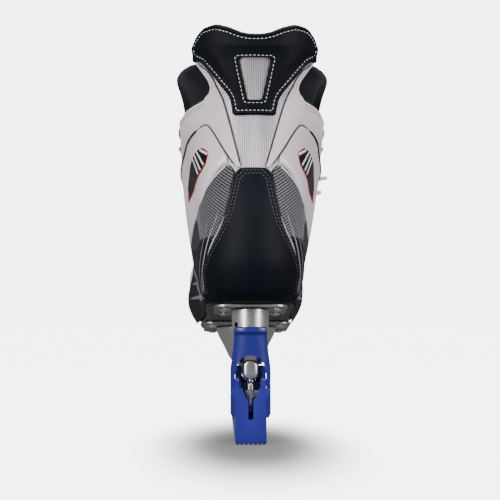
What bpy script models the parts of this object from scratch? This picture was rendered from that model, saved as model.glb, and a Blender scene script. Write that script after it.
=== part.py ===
"""A right-foot ice hockey skate standing in its blade guard.

The frame: +Y points from heel to toe, +X to the wearer's right, +Z up, and the floor is z = 0.
The boot is a stack of horizontal outlines, so a place on it is given by three sizes: how far round
from the centre back (left is negative), how high above the outsole, and how far out of the surface.
"""

import math

import bmesh
import bpy
import numpy as np
from mathutils import Matrix, Vector

mm = 0.001

# Overall sizes
BOOT_LENGTH = 282 * mm
BOOT_WIDTH = 93 * mm
COLLAR_HEIGHT = 152 * mm
HEEL_STAND = 101 * mm
SOLE_PITCH = math.radians(5.1)
HEEL_STATION = -120 * mm
TOE_SPRING_START = 90 * mm
TOE_SPRING = 3.2
BOOT_LEAN = 0.016

# Boot layers
LAYER_GAP = 0.6 * mm
SEAM_GAP = 0.5 * mm
SHELL_WALL = 3 * mm
LINER_WALL = 3 * mm
LINER_GAP = 1.2 * mm
SKIN_WALL = 1 * mm
COUNTER_WALL = 1.8 * mm
PAD_WALL = 2 * mm
TRIM_WALL = 0.8 * mm
OUTSOLE_THICKNESS = 5 * mm
BOARD_THICKNESS = 2 * mm
FOOTBED_THICKNESS = 4 * mm
RIVET_ROOM = 2.2 * mm
TOE_CAP_LINE = 74 * mm
TONGUE_DEPTH = 9 * mm
TONGUE_WALL = 6 * mm
TONGUE_HINGE = COLLAR_HEIGHT + 1 * mm
TENDON_RISE = 39.2 * mm

# Lacing
EYELETS_A_SIDE = 7
LACED_EYELETS = 6
FIRST_EYELET_HEIGHT = 78 * mm
LAST_EYELET_HEIGHT = 141 * mm
EYELET_INSET = 9 * mm
EYELET_BORE = 2.7 * mm
EYELET_BARREL = 3.2 * mm
EYELET_FLANGE = 4.6 * mm
EYELET_LIP = 0.8 * mm
EYELET_FIT = 0.5 * mm
LACE_RADIUS = 1.5 * mm

# Blade, tube and cups
BLADE_THICKNESS = 3 * mm
BLADE_DEPTH = 33 * mm
BLADE_HEEL = -111.5 * mm
BLADE_TOE = 134.5 * mm
BLADE_ROCKER = 2.75
TUBE_WIDTH = 12.4 * mm
TUBE_HEIGHT = 17 * mm
TUBE_WALL = 1.6 * mm
TUBE_HEEL = -107 * mm
TUBE_TOE = 118 * mm
BLADE_SHOWING = 26.6 * mm
FIT = 0.3 * mm
CUP_WALL = 1.5 * mm
HEEL_CUP_STATION = -100 * mm
HEEL_CUP_RADIUS = 13.7 * mm
SOLE_CUP_STATION = 58 * mm
SOLE_CUP_RADIUS = 25 * mm
VENT_RADIUS = 1.9 * mm
VENT_HEIGHT = 86 * mm

# Plates and rivets
PLATE_THICKNESS = 2.6 * mm
HEEL_PLATE_WIDTH = BOOT_WIDTH - 40 * mm
HEEL_PLATE_LENGTH = 62 * mm
HEEL_PLATE_STATION = -93 * mm
SOLE_PLATE_WIDTH = BOOT_WIDTH - 21 * mm
SOLE_PLATE_LENGTH = 84 * mm
PLATE_CORNER = 9 * mm
PLATE_EDGE = 0.7 * mm
RIVET_RADIUS = 2 * mm
RIVET_HEAD = 3.8 * mm
RIVET_HEAD_HEIGHT = 1.6 * mm
RIVET_EDGE = 7.5 * mm

# Blade guard
GUARD_HALF_WIDTH = 11.2 * mm
GUARD_WALL_TOP = 34 * mm
GUARD_FLOOR = 18 * mm
GUARD_HEEL = HEEL_CUP_STATION - HEEL_CUP_RADIUS - 6.3 * mm
GUARD_TOE = 139 * mm
SLOT_HALF_WIDTH = 1.8 * mm
MELD = 0.05 * mm
RIB_PITCH = 3.2 * mm
RIB_WIDTH = 1.8 * mm
RIB_DEPTH = 1.2 * mm
EAR_HALF_WIDTH = 13.9 * mm
EAR_TOP = 40.3 * mm
EAR_THICKNESS = 6 * mm
CHEEK_INNER = 8.4 * mm
CHEEK_TOP = 49 * mm
WEB_INNER = 7 * mm
WEB_TOP = 55 * mm
WEB_LENGTH = 8.5 * mm
PIVOT_STATION = -107 * mm
PIVOT_HEIGHT = 44 * mm
PIVOT_RADIUS = 2.6 * mm
PIVOT_REACH = 14.4 * mm
LATCH_CLEARANCE = 0.4 * mm
LATCH_WALL = 3 * mm
LATCH_LIP = 3 * mm
LATCH_TOP = 84.5 * mm
LATCH_FOOT = 18.7 * mm
ARCH_TOP = 64 * mm
ARCH_HALF_WIDTH = 10.3 * mm

LENGTH_STRETCH = BOOT_LENGTH / (282 * mm)
WIDTH_STRETCH = BOOT_WIDTH / (93 * mm)
HEIGHT_STRETCH = COLLAR_HEIGHT / (152 * mm)
PLATE_TOP = -FIT
BLADE_BOTTOM = GUARD_FLOOR + 0.4 * mm
TUBE_BOTTOM = BLADE_BOTTOM + BLADE_SHOWING
TUBE_TOP = TUBE_BOTTOM + TUBE_HEIGHT

bpy.ops.object.select_all(action="DESELECT")
for old in list(bpy.data.objects):
    bpy.data.objects.remove(old)
skate = bpy.data.collections.new("hockey_skate")
cutters = bpy.data.collections.new("cutters")
for group in (skate, cutters):
    bpy.context.scene.collection.children.link(group)


# ---------------------------------------------------------------- materials


def material(name, colour, roughness, metallic=0.0):
    made = bpy.data.materials.new(name)
    made.use_nodes = True
    shader = made.node_tree.nodes["Principled BSDF"]
    shader.inputs["Base Color"].default_value = (*colour, 1)
    shader.inputs["Roughness"].default_value = roughness
    shader.inputs["Metallic"].default_value = metallic
    return made


WHITE_LEATHER = material("white_leather", (0.72, 0.68, 0.69), 0.5)
BLACK_LEATHER = material("black_leather", (0.012, 0.013, 0.02), 0.45)
BLACK_MESH = material("black_mesh", (0.03, 0.03, 0.035), 0.7)
SILVER_WEAVE = material("silver_weave", (0.55, 0.52, 0.54), 0.4)
BLACK_LINING = material("black_lining", (0.008, 0.009, 0.011), 0.95)
RED_TRIM = material("red_trim", (0.3, 0.03, 0.03), 0.5)
BLACK_PLASTIC = material("black_plastic", (0.01, 0.01, 0.012), 0.5)
BLACK_METAL = material("black_metal", (0.02, 0.02, 0.022), 0.4, 0.6)
FIBRE_BOARD = material("fibre_board", (0.16, 0.1, 0.06), 0.85)
LACE_COTTON = material("lace_cotton", (0.75, 0.72, 0.74), 0.85)
PLATED_STEEL = material("plated_steel", (0.62, 0.61, 0.62), 0.28, 1.0)
BLADE_STEEL = material("blade_steel", (0.7, 0.71, 0.73), 0.2, 1.0)
BLUE_PLASTIC = material("blue_plastic", (0.03, 0.06, 0.42), 0.32)


# ---------------------------------------------------------------- the boot's form


def curve_through(*points):
    """A smooth curve through (x, y) points that never overshoots between them."""
    x, y = np.array(points, float).T
    rise = np.diff(y) / np.diff(x)
    slope = np.zeros(len(x))
    slope[0], slope[-1] = rise[0], rise[-1]
    for i in range(1, len(x) - 1):
        if rise[i - 1] * rise[i] > 0:
            slope[i] = 2 * rise[i - 1] * rise[i] / (rise[i - 1] + rise[i])

    def value(q):
        q = np.clip(q, x[0], x[-1])
        i = np.clip(np.searchsorted(x, q) - 1, 0, len(x) - 2)
        span = x[i + 1] - x[i]
        t = (q - x[i]) / span
        start = (1 + 2 * t) * (1 - t) ** 2 * y[i] + t * (1 - t) ** 2 * span * slope[i]
        end = t * t * (3 - 2 * t) * y[i + 1] + t * t * (t - 1) * span * slope[i + 1]
        return start + end

    return value


def profile(stretch, *points):
    """A size of the boot, in metres, at a height: the points are (height, size) in millimetres."""
    curve = curve_through(*points)
    return lambda height: curve(height / (mm * HEIGHT_STRETCH)) * mm * stretch


def seam(*points):
    """A seam on the boot from (x, y) points in millimetres, as a curve in metres."""
    curve = curve_through(*points)
    return lambda q: curve(q / mm) * mm


BACK = profile(
    LENGTH_STRETCH,
    (0, -127), (12, -135), (30, -139), (55, -136), (85, -130),
    (115, -127), (140, -128), (165, -132), (185, -137), (210, -144),
)
FRONT = profile(
    LENGTH_STRETCH,
    (0, 138), (10, 143), (24, 143), (38, 134), (48, 118), (55, 96), (62, 76),
    (74, 54), (90, 34), (106, 19), (122, 9), (138, 4), (152, 3), (170, 6), (215, 20),
)
HEEL_HALF = profile(
    WIDTH_STRETCH, (0, 32), (12, 36), (30, 38), (55, 37), (85, 39), (115, 45), (140, 51), (210, 50)
)
ANKLE_HALF = profile(
    WIDTH_STRETCH,
    (0, 32), (15, 37), (40, 42), (74, 48), (101, 51.5),
    (125, 55.5), (140, 57), (165, 60), (190, 67), (215, 66),
)
BALL_HALF = profile(
    WIDTH_STRETCH, (0, 36), (5, 40), (12, 44), (20, 46.5), (40, 47), (52, 43), (62, 34), (215, 34)
)
BACK_ROUND = profile(LENGTH_STRETCH, (0, 40), (30, 42), (85, 46), (115, 50), (150, 52), (210, 52))
FRONT_ROUND = profile(LENGTH_STRETCH, (0, 62), (40, 62), (60, 45), (90, 45), (140, 58), (210, 60))
TOE_SWING = seam((-150, 0), (0, 0), (60, -1), (110, -4), (145, -7))


def ease(t):
    t = np.clip(t, 0, 1)
    return t * t * (3 - 2 * t)


def sole_line(y):
    """Height of the outsole's underside above the floor: a straight pitched line, then toe spring."""
    spring = np.maximum(y - TOE_SPRING_START, 0) ** 2 * TOE_SPRING
    return HEEL_STAND - math.tan(SOLE_PITCH) * (y - HEEL_STATION) + spring


OUTLINE_STEPS = 360
outlines = {}


def outline(height):
    """Half outline of the boot at a height: half widths, stations and lengths round from the back."""
    key = round(height / mm, 3)
    if key not in outlines:
        back, front = BACK(height), FRONT(height)
        turn = np.linspace(0, math.pi, OUTLINE_STEPS)
        y = (back + front) / 2 - (front - back) / 2 * np.cos(turn)
        to_ankle = ease((y + 95 * mm * LENGTH_STRETCH) / (65 * mm * LENGTH_STRETCH))
        to_ball = ease((y + 15 * mm * LENGTH_STRETCH) / (75 * mm * LENGTH_STRETCH))
        heel, ankle, ball = HEEL_HALF(height), ANKLE_HALF(height), BALL_HALF(height)
        half = heel + (ankle - heel) * to_ankle + (ball - ankle) * to_ball
        near_back = np.clip((y - back) / BACK_ROUND(height), 0, 1)
        near_front = np.clip((front - y) / FRONT_ROUND(height), 0, 1)
        x = half * np.sqrt(1 - (1 - near_back) ** 2) * np.sqrt(1 - (1 - near_front) ** 2)
        round_from_back = np.concatenate([[0], np.cumsum(np.hypot(np.diff(x), np.diff(y)))])
        outlines[key] = (x, y, round_from_back)
    return outlines[key]


def girth(height):
    """Length round one side at a height, from the centre back to the centre front."""
    return outline(height)[2][-1]


def round_to_station(height, station):
    """How far round from the centre back the outline passes a station along the skate."""
    _, y, lengths = outline(height)
    return float(np.interp(station, y, lengths))


def place(around, height):
    x, y, lengths = outline(height)
    station = np.interp(abs(around), lengths, y)
    half = np.interp(abs(around), lengths, x)
    across = math.copysign(half, around) + TOE_SWING(station) + BOOT_LEAN * height
    return Vector((across, station, sole_line(station) + height))


def facing(around, height):
    """The boot's outward direction at a place."""
    step = 0.6 * mm
    low, high = max(height - step, 0), height + step
    reach = girth(height)
    along = place(min(around + step, reach), height) - place(max(around - step, -reach), height)
    rise = place(around, high) - place(around, low)
    return along.cross(rise).normalized()


def on_boot(around, height, lift=0.0):
    return place(around, height) + facing(around, height) * lift


def from_front(across, height, lift=0.0):
    """A place given by its distance from the centre front, right positive."""
    reach = girth(height)
    across = math.copysign(min(abs(across), reach), across)
    around = (reach - abs(across)) * (1 if across >= 0 else -1)
    return on_boot(around, height, lift)


# ---------------------------------------------------------------- making solids


def add(name, mesh, finish, group=skate):
    obj = bpy.data.objects.new(name, mesh)
    group.objects.link(obj)
    if finish:
        mesh.materials.append(finish)
    if group is cutters:
        obj.hide_render = True
        obj.display_type = "WIRE"
    return obj


def smooth_shaded(obj, angle=35):
    obj.data.shade_smooth()
    obj.data.set_sharp_from_angle(angle=math.radians(angle))
    return obj


def sheet_solid(name, finish, cells, at, wall, lift):
    """Two grids laid on the boot by at(a, b, lift), wall apart, with their rims bridged."""
    columns, rows = cells
    work = bmesh.new()
    for out in (lift, lift + wall):
        laid = bmesh.ops.create_grid(work, x_segments=columns, y_segments=rows, size=1)
        for vertex in laid["verts"]:
            vertex.co = at((vertex.co.x + 1) / 2, (vertex.co.y + 1) / 2, out)
    rims = [edge for edge in work.edges if edge.is_boundary]
    bmesh.ops.bridge_loops(work, edges=rims)
    bmesh.ops.recalc_face_normals(work, faces=work.faces)
    mesh = bpy.data.meshes.new(name)
    work.to_mesh(mesh)
    work.free()
    return smooth_shaded(add(name, mesh, finish))


def settle(a, b, around_edges, height_edges):
    """The place (around, height) at share a across and b up a panel with curved edges."""
    start, end = around_edges
    low, high = height_edges
    height = (low(start(0.1)) + high(start(0.1))) / 2
    for _ in range(6):
        around = start(height) + (end(height) - start(height)) * a
        height = low(around) + (high(around) - low(around)) * b
    return around, height


def constant(value):
    return lambda _: value


def panel(name, finish, side, around_edges, height_edges, cells, wall, lift, bunch=None):
    """A boot panel on one side (side 1 right, -1 left), or across the centre back (side 0)."""

    def at(a, b, out):
        b = bunch(b) if bunch else b
        if side:
            around, height = settle(a, b, around_edges, height_edges)
            return on_boot(side * around, height, out)
        share = 2 * a - 1
        around, height = settle(abs(share), b, (constant(0), around_edges[1]), height_edges)
        return on_boot(math.copysign(around, share), height, out)

    return sheet_solid(name, finish, cells, at, wall, lift)


def front_panel(name, finish, half_width, height_edges, cells, wall, lift, bunch=None, sink=None):
    """A panel across the centre front, its half width given at each height."""

    def at(a, b, out):
        b = bunch(b) if bunch else b
        share = 2 * a - 1
        across, height = settle(abs(share), b, (constant(0), half_width), height_edges)
        depth = sink(height) if sink else 0
        return from_front(math.copysign(across, share), height, out - depth)

    return sheet_solid(name, finish, cells, at, wall, lift)


def tread_panel(name, finish, height, inset, thickness, cells):
    """A flat layer of the sole, inset from the boot's outline at its height."""
    x, y, _ = outline(height)
    along = np.gradient(np.stack([x, y], axis=1), axis=0)
    length = np.hypot(along[:, 0], along[:, 1])
    half = np.maximum(x - inset * along[:, 1] / length, 0.5 * mm)
    station = y + inset * along[:, 0] / length
    last = OUTLINE_STEPS - 1

    def at(a, b, out):
        turn = (0.03 + 0.94 * b) * last
        here = np.interp(turn, range(OUTLINE_STEPS), station)
        width = np.interp(turn, range(OUTLINE_STEPS), half)
        across = width * (2 * a - 1) + TOE_SWING(here) + BOOT_LEAN * height
        return Vector((across, here, sole_line(here) + height + out))

    return sheet_solid(name, finish, cells, at, thickness, 0)


def outline_solid(name, finish, points, low, high, plane, group=skate):
    """A flat outline given thickness: plane XY, XZ or YZ, from low to high along the third axis."""
    flat = bpy.data.curves.new(name, "CURVE")
    flat.dimensions = "2D"
    flat.fill_mode = "BOTH"
    flat.extrude = (high - low) / 2
    line = flat.splines.new("POLY")
    line.points.add(len(points) - 1)
    for dot, (u, v) in zip(line.points, points):
        dot.co = (u, v, 0, 1)
    line.use_cyclic_u = True
    middle = (low + high) / 2
    turn = {
        "XY": Matrix.Translation((0, 0, middle)),
        "XZ": Matrix.Translation((0, middle, 0)) @ Matrix.Rotation(math.pi / 2, 4, "X"),
        "YZ": Matrix(((0, 0, 1, middle), (1, 0, 0, 0), (0, 1, 0, 0), (0, 0, 0, 1))),
    }[plane]
    holder = bpy.data.objects.new(name, flat)
    skate.objects.link(holder)
    return meshed(holder, finish, turn, group)


def meshed(holder, finish, turn, group=skate):
    """A curve object made a welded mesh object, placed by turn."""
    name = holder.name
    graph = bpy.context.evaluated_depsgraph_get()
    mesh = bpy.data.meshes.new_from_object(holder.evaluated_get(graph))
    bpy.data.objects.remove(holder)
    work = bmesh.new()
    work.from_mesh(mesh)
    bmesh.ops.remove_doubles(work, verts=work.verts, dist=0.01 * mm)
    bmesh.ops.recalc_face_normals(work, faces=work.faces)
    work.to_mesh(mesh)
    work.free()
    mesh.materials.clear()
    mesh.transform(turn)
    mesh.name = name
    return add(name, mesh, finish, group)


def turned_solid(name, finish, ring, steps, group=skate):
    """A solid turned about its own Z from a closed ring of (radius, height) points."""
    mesh = bpy.data.meshes.new(name)
    work = bmesh.new()
    dots = [work.verts.new((r, 0, z)) for r, z in ring]
    for first, second in zip(dots, dots[1:] + dots[:1]):
        if first.co.x > 0 or second.co.x > 0:
            work.edges.new((first, second))
    work.to_mesh(mesh)
    work.free()
    obj = add(name, mesh, finish, group)
    screw = obj.modifiers.new("turn", "SCREW")
    screw.steps = screw.render_steps = steps
    screw.use_merge_vertices = True
    screw.merge_threshold = 0.02 * mm
    screw.use_smooth_shade = True
    return obj


def rod_cutter(name, start, end, radius, sides=16):
    direction = end - start
    work = bmesh.new()
    bmesh.ops.create_cone(
        work, cap_ends=True, segments=sides, radius1=radius, radius2=radius, depth=direction.length
    )
    turn = direction.to_track_quat("Z", "Y").to_matrix().to_4x4()
    work.transform(Matrix.Translation((start + end) / 2) @ turn)
    mesh = bpy.data.meshes.new(name)
    work.to_mesh(mesh)
    work.free()
    return add(name, mesh, None, cutters)


def block(name, finish, low, high, group=skate):
    work = bmesh.new()
    bmesh.ops.create_cube(work, size=1)
    for vertex in work.verts:
        vertex.co = [l + (c + 0.5) * (h - l) for l, h, c in zip(low, high, vertex.co)]
    mesh = bpy.data.meshes.new(name)
    work.to_mesh(mesh)
    work.free()
    return add(name, mesh, finish, group)


def boolean(obj, other, operation="DIFFERENCE"):
    step = obj.modifiers.new(operation.lower(), "BOOLEAN")
    step.object = other
    step.operation = operation
    step.solver = "EXACT"
    return obj


def arc_points(centre, radius, start, end, steps):
    """Points on an arc, angles in degrees, both ends included."""
    turns = [math.radians(start + (end - start) * i / steps) for i in range(steps + 1)]
    return [(centre[0] + radius * math.cos(t), centre[1] + radius * math.sin(t)) for t in turns]


# ---------------------------------------------------------------- sole layers

UPPER_FOOT = OUTSOLE_THICKNESS + 0.4 * mm
BOARD_TOP = UPPER_FOOT + BOARD_THICKNESS
FOOTBED_BOTTOM = BOARD_TOP + RIVET_ROOM + 0.4 * mm
FOOTBED_TOP = FOOTBED_BOTTOM + FOOTBED_THICKNESS

outsole = tread_panel("outsole", BLACK_PLASTIC, 0, -0.8 * mm, OUTSOLE_THICKNESS, (2, 26))
lasting_board = tread_panel(
    "lasting_board", FIBRE_BOARD, UPPER_FOOT, SHELL_WALL + 1.6 * mm, BOARD_THICKNESS, (2, 16)
)
footbed = tread_panel(
    "footbed",
    BLACK_LINING,
    FOOTBED_BOTTOM,
    SHELL_WALL + LINER_GAP + LINER_WALL + 1.2 * mm,
    FOOTBED_THICKNESS,
    (2, 16),
)

# ---------------------------------------------------------------- boot seams

THROAT_HALF = seam((0, 4), (50, 10), (62, 24), (75, 34), (90, 42), (110, 51), (134, 63), (152, 68), (215, 70))
COUNTER_EDGE = seam(
    (4, 39), (12, 42), (20, 43), (28, 40.5), (38, 34.5),
    (50, 26), (64, 19.2), (79, 15.5), (97, 12),
)
STRIP_EDGE = seam((98, 8.6), (132, 18), (146, 22.5), (153, 26), (167, 35), (176, 47), (190, 55))
PAD_EDGE = seam((135, 15), (146, 17), (160, 27), (174, 40), (182, 51), (190, 54))
TAB_EDGE = seam((131, 36), (152, 33.5), (160, 37), (170, 44.5), (180, 54), (190, 58))
ARCH_SEAM = seam(
    (13, 98), (22.8, 112), (32, 126), (38, 131), (47, 129),
    (58, 126), (80, 121), (99, 116), (125, 107), (150, 97),
)
MESH_TOP = seam(
    (13, 95), (18, 100), (40, 84.5), (49, 77), (84, 68),
    (106, 58), (140, 47), (180, 37), (215, 27), (260, 20),
)
TAB_CREST = seam(
    (0, 191.2), (4, 191.4), (8.6, 192.3), (21, 197.3), (30, 199.5),
    (38, 199), (47, 194.5), (55, 186), (60, 183),
)
PANEL_SPLIT = 47 * mm
PANEL_REACH = 150 * mm
COUNTER_TOP = 97 * mm
PAD_BOTTOM = 135 * mm


def tab_crest(around):
    return TAB_CREST(around) - TAB_CREST(0) + COLLAR_HEIGHT + TENDON_RISE


def shell_front(height):
    """Where a quarter ends: at the toe cap below, and at the throat above."""
    at_throat = girth(height) - THROAT_HALF(height)
    return min(at_throat, round_to_station(height, TOE_CAP_LINE * LENGTH_STRETCH))


# ---------------------------------------------------------------- boot shells and skins

for side, side_name in ((1, "right"), (-1, "left")):
    panel(
        f"quarter_{side_name}",
        WHITE_LEATHER,
        side,
        (constant(2 * SEAM_GAP), shell_front),
        (constant(UPPER_FOOT), constant(COLLAR_HEIGHT)),
        (19, 12),
        SHELL_WALL,
        -SHELL_WALL,
    )


def toe_half(height):
    """Half width of the toe cap at a height, measured round from the centre front."""
    return girth(height) - round_to_station(height, TOE_CAP_LINE * LENGTH_STRETCH + 2 * SEAM_GAP)


toe_cap = front_panel(
    "toe_cap",
    BLACK_PLASTIC,
    toe_half,
    (constant(UPPER_FOOT), constant(61 * mm * HEIGHT_STRETCH)),
    (20, 9),
    SHELL_WALL,
    -SHELL_WALL,
    bunch=lambda b: math.sin(b * math.pi / 2),
)

heel_counter = panel(
    "heel_counter",
    BLACK_LEATHER,
    0,
    (None, COUNTER_EDGE),
    (constant(UPPER_FOOT), constant(COUNTER_TOP)),
    (12, 10),
    COUNTER_WALL,
    LAYER_GAP,
)

tendon_shell = panel(
    "tendon_shell",
    WHITE_LEATHER,
    0,
    (None, TAB_EDGE),
    (constant(COLLAR_HEIGHT + SEAM_GAP), lambda around: tab_crest(around) - 1 * mm),
    (16, 6),
    SHELL_WALL,
    -SHELL_WALL,
)
tendon_lining = panel(
    "tendon_lining",
    BLACK_LINING,
    0,
    (None, lambda height: TAB_EDGE(height) - 2.5 * mm),
    (constant(COLLAR_HEIGHT + SEAM_GAP), lambda around: tab_crest(around) - 3 * mm),
    (14, 6),
    LINER_WALL,
    -SHELL_WALL - LINER_GAP - LINER_WALL,
)
back_strip = panel(
    "back_strip",
    SILVER_WEAVE,
    0,
    (None, lambda height: STRIP_EDGE(height) - SEAM_GAP),
    (constant(COUNTER_TOP + 1.2 * mm), constant(COLLAR_HEIGHT + 10 * mm)),
    (8, 8),
    SKIN_WALL,
    LAYER_GAP,
)

pad_lift = LAYER_GAP + SKIN_WALL + LAYER_GAP
tendon_pad = panel(
    "tendon_pad",
    BLACK_LEATHER,
    0,
    (None, PAD_EDGE),
    (constant(PAD_BOTTOM), tab_crest),
    (16, 9),
    PAD_WALL,
    pad_lift,
)
PAD_WINDOW_TOP = 276 * mm
PAD_WINDOW_BOTTOM = 248 * mm
window_cutter = outline_solid(
    "pad_window_cutter",
    None,
    [
        (-11.2 * mm + BOOT_LEAN * COLLAR_HEIGHT, PAD_WINDOW_TOP),
        (-5.8 * mm + BOOT_LEAN * COLLAR_HEIGHT, PAD_WINDOW_BOTTOM),
        (5.8 * mm + BOOT_LEAN * COLLAR_HEIGHT, PAD_WINDOW_BOTTOM),
        (11.2 * mm + BOOT_LEAN * COLLAR_HEIGHT, PAD_WINDOW_TOP),
    ],
    -200 * mm,
    -100 * mm,
    "XZ",
    cutters,
)
boolean(tendon_pad, window_cutter)

for side, side_name in ((1, "right"), (-1, "left")):
    panel(
        f"tendon_wing_{side_name}",
        WHITE_LEATHER,
        side,
        (lambda height: STRIP_EDGE(height) + SEAM_GAP, TAB_EDGE),
        (
            lambda around: max(132 * mm, ARCH_SEAM(around) + 2 * SEAM_GAP),
            lambda around: min(tab_crest(around) - 4 * mm, 183 * mm),
        ),
        (4, 9),
        SKIN_WALL,
        LAYER_GAP,
    )
    panel(
        f"ankle_panel_{side_name}",
        WHITE_LEATHER,
        side,
        (constant(19 * mm), lambda height: min(shell_front(height) - 21 * mm, PANEL_REACH)),
        (lambda around: MESH_TOP(around) + SEAM_GAP, lambda around: ARCH_SEAM(around) - SEAM_GAP),
        (15, 7),
        SKIN_WALL,
        LAYER_GAP,
    )
    panel(
        f"mesh_panel_{side_name}",
        BLACK_MESH,
        side,
        (lambda height: COUNTER_EDGE(height) + SEAM_GAP, constant(130 * mm)),
        (constant(PANEL_SPLIT), lambda around: MESH_TOP(around) - SEAM_GAP),
        (11, 6),
        SKIN_WALL,
        LAYER_GAP,
    )
    panel(
        f"side_panel_{side_name}",
        BLACK_LEATHER,
        side,
        (lambda height: COUNTER_EDGE(height) + SEAM_GAP, lambda height: shell_front(height) - 2 * mm),
        (
            constant(UPPER_FOOT),
            lambda around: min(PANEL_SPLIT - 2 * SEAM_GAP, MESH_TOP(around) - SEAM_GAP),
        ),
        (20, 5),
        SKIN_WALL,
        LAYER_GAP,
    )

    trim_lift = LAYER_GAP + SKIN_WALL + LAYER_GAP
    panel(
        f"side_vent_{side_name}",
        RED_TRIM,
        side,
        (constant(36 * mm), constant(97 * mm)),
        (
            seam((36, 109.5), (40, 102.5), (57, 94.5), (97, 84)),
            seam((36, 112), (43.6, 116), (71, 108), (90, 97), (97, 86.5)),
        ),
        (9, 3),
        TRIM_WALL,
        trim_lift,
    )
    panel(
        f"side_badge_{side_name}",
        SILVER_WEAVE,
        side,
        (constant(20 * mm), constant(46 * mm)),
        (lambda around: MESH_TOP(around) + 2 * mm, lambda around: MESH_TOP(around) + 6.5 * mm),
        (5, 2),
        TRIM_WALL,
        trim_lift,
    )

liner = panel(
    "liner",
    BLACK_LINING,
    0,
    (None, lambda height: min(shell_front(height) - 2 * EYELET_INSET, PANEL_REACH)),
    (constant(BOARD_TOP + 1 * mm), constant(COLLAR_HEIGHT - 0.5 * mm)),
    (30, 9),
    LINER_WALL,
    -SHELL_WALL - LINER_GAP - LINER_WALL,
)

# ---------------------------------------------------------------- tongue

TONGUE_HALF = seam(
    (50, 26), (62, 36), (80, 49), (110, 64), (134, 76),
    (152, 82), (168, 86), (180, 86), (195, 76), (206, 50),
)
TONGUE_CREST = seam((0, 207), (30, 207), (55, 203), (70, 196), (80, 187), (87, 174))


def tongue_depth(height):
    """How far the tongue's face lies inside the quarters; above the collar it spreads out past them."""
    return TONGUE_DEPTH * (1 - ease((height - COLLAR_HEIGHT - 6 * mm) / (22 * mm)))


tongue = front_panel(
    "tongue",
    BLACK_LINING,
    lambda height: min(TONGUE_HALF(height), girth(height) - 45 * mm),
    (constant(57 * mm * HEIGHT_STRETCH), constant(TONGUE_HINGE - SEAM_GAP)),
    (14, 10),
    TONGUE_WALL,
    -TONGUE_WALL,
    sink=tongue_depth,
)
tongue_top = front_panel(
    "tongue_top",
    BLACK_LINING,
    TONGUE_HALF,
    (
        constant(TONGUE_HINGE + SEAM_GAP),
        lambda across: TONGUE_CREST(across) - 152 * mm + COLLAR_HEIGHT,
    ),
    (16, 7),
    TONGUE_WALL,
    -TONGUE_WALL,
    sink=tongue_depth,
)

# ---------------------------------------------------------------- eyelets and lace


def eyelet_height(number):
    share = number / (EYELETS_A_SIDE - 1)
    return FIRST_EYELET_HEIGHT + (LAST_EYELET_HEIGHT - FIRST_EYELET_HEIGHT) * share * HEIGHT_STRETCH


def eyelet_place(side, number):
    """Centre of an eyelet on the quarter's face, and the way it faces."""
    height = eyelet_height(number)
    around = side * (shell_front(height) - EYELET_INSET)
    return on_boot(around, height), facing(around, height)


for side, side_name in ((1, "right"), (-1, "left")):
    quarter = bpy.data.objects[f"quarter_{side_name}"]
    for number in range(EYELETS_A_SIDE):
        centre, outwards = eyelet_place(side, number)
        hole = rod_cutter(
            f"eyelet_hole_{side_name}_{number + 1}",
            centre - outwards * 8 * mm,
            centre + outwards * 8 * mm,
            EYELET_BARREL + EYELET_FIT,
            8,
        )
        boolean(quarter, hole)
        eyelet = turned_solid(
            f"eyelet_{side_name}_{number + 1}",
            BLACK_METAL,
            [
                (EYELET_BORE, EYELET_FIT + EYELET_LIP),
                (EYELET_FLANGE, EYELET_FIT + EYELET_LIP),
                (EYELET_FLANGE, EYELET_FIT),
                (EYELET_BARREL, EYELET_FIT),
                (EYELET_BARREL, -SHELL_WALL),
                (EYELET_BORE, -SHELL_WALL),
            ],
            8,
        )
        eyelet.rotation_mode = "QUATERNION"
        eyelet.rotation_quaternion = outwards.to_track_quat("Z", "Y")
        eyelet.location = centre


def lace_dot(side, number, beyond, lift):
    """A point of the lace by an eyelet: beyond is how far it is from the eyelet towards the throat."""
    height = eyelet_height(number)
    around = side * (shell_front(height) - EYELET_INSET + beyond)
    return on_boot(around, height, lift)


UNDER = -6.2 * mm
OVER = 3.4 * mm
LOOSE_LOOPS = (9 * mm, 10 * mm, 11.5 * mm, 10.5 * mm)


def through_eyelet(side, number):
    """The lace's points up through an eyelet and over the quarter's edge."""
    centre, face = eyelet_place(side, number)
    points = [
        lace_dot(side, number, 7 * mm, UNDER),
        lace_dot(side, number, 2 * mm, UNDER),
        centre - face * 4.4 * mm,
        centre - face * 1 * mm,
        centre + face * 1.6 * mm,
    ]
    if side > 0 and number < len(LOOSE_LOOPS):
        loop = LOOSE_LOOPS[number]
        points += [
            centre + face * loop * 0.55,
            lace_dot(side, number, 1.6 * mm, loop),
            lace_dot(side, number, 5.4 * mm, loop * 0.8),
            lace_dot(side, number, 7.2 * mm, OVER),
        ]
    else:
        points += [lace_dot(side, number, 2.2 * mm, OVER), lace_dot(side, number, 6.5 * mm, OVER)]
    return points


def crossing(side, number, over):
    """The lace's points over the tongue from one side's eyelet to the other side's next one."""
    low, high = eyelet_height(number), eyelet_height(number + 1)
    middle = -2.2 * mm if over else -6.1 * mm
    start, end = THROAT_HALF(low), THROAT_HALF(high)
    stops = [
        (side * (start - 1.8 * mm), 0.07, 1.6 * mm),
        (side * (start - 7 * mm), 0.16, -2.2 * mm),
        (side * start * 0.62, 0.27, -4.6 * mm),
        (side * start * 0.3, 0.39, middle),
        (0, 0.5, middle),
        (-side * end * 0.3, 0.61, middle),
        (-side * end * 0.62, 0.73, -5.4 * mm),
        (-side * (end - 5 * mm), 0.84, UNDER),
    ]
    return [from_front(across, low + (high - low) * share, lift) for across, share, lift in stops]


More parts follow.
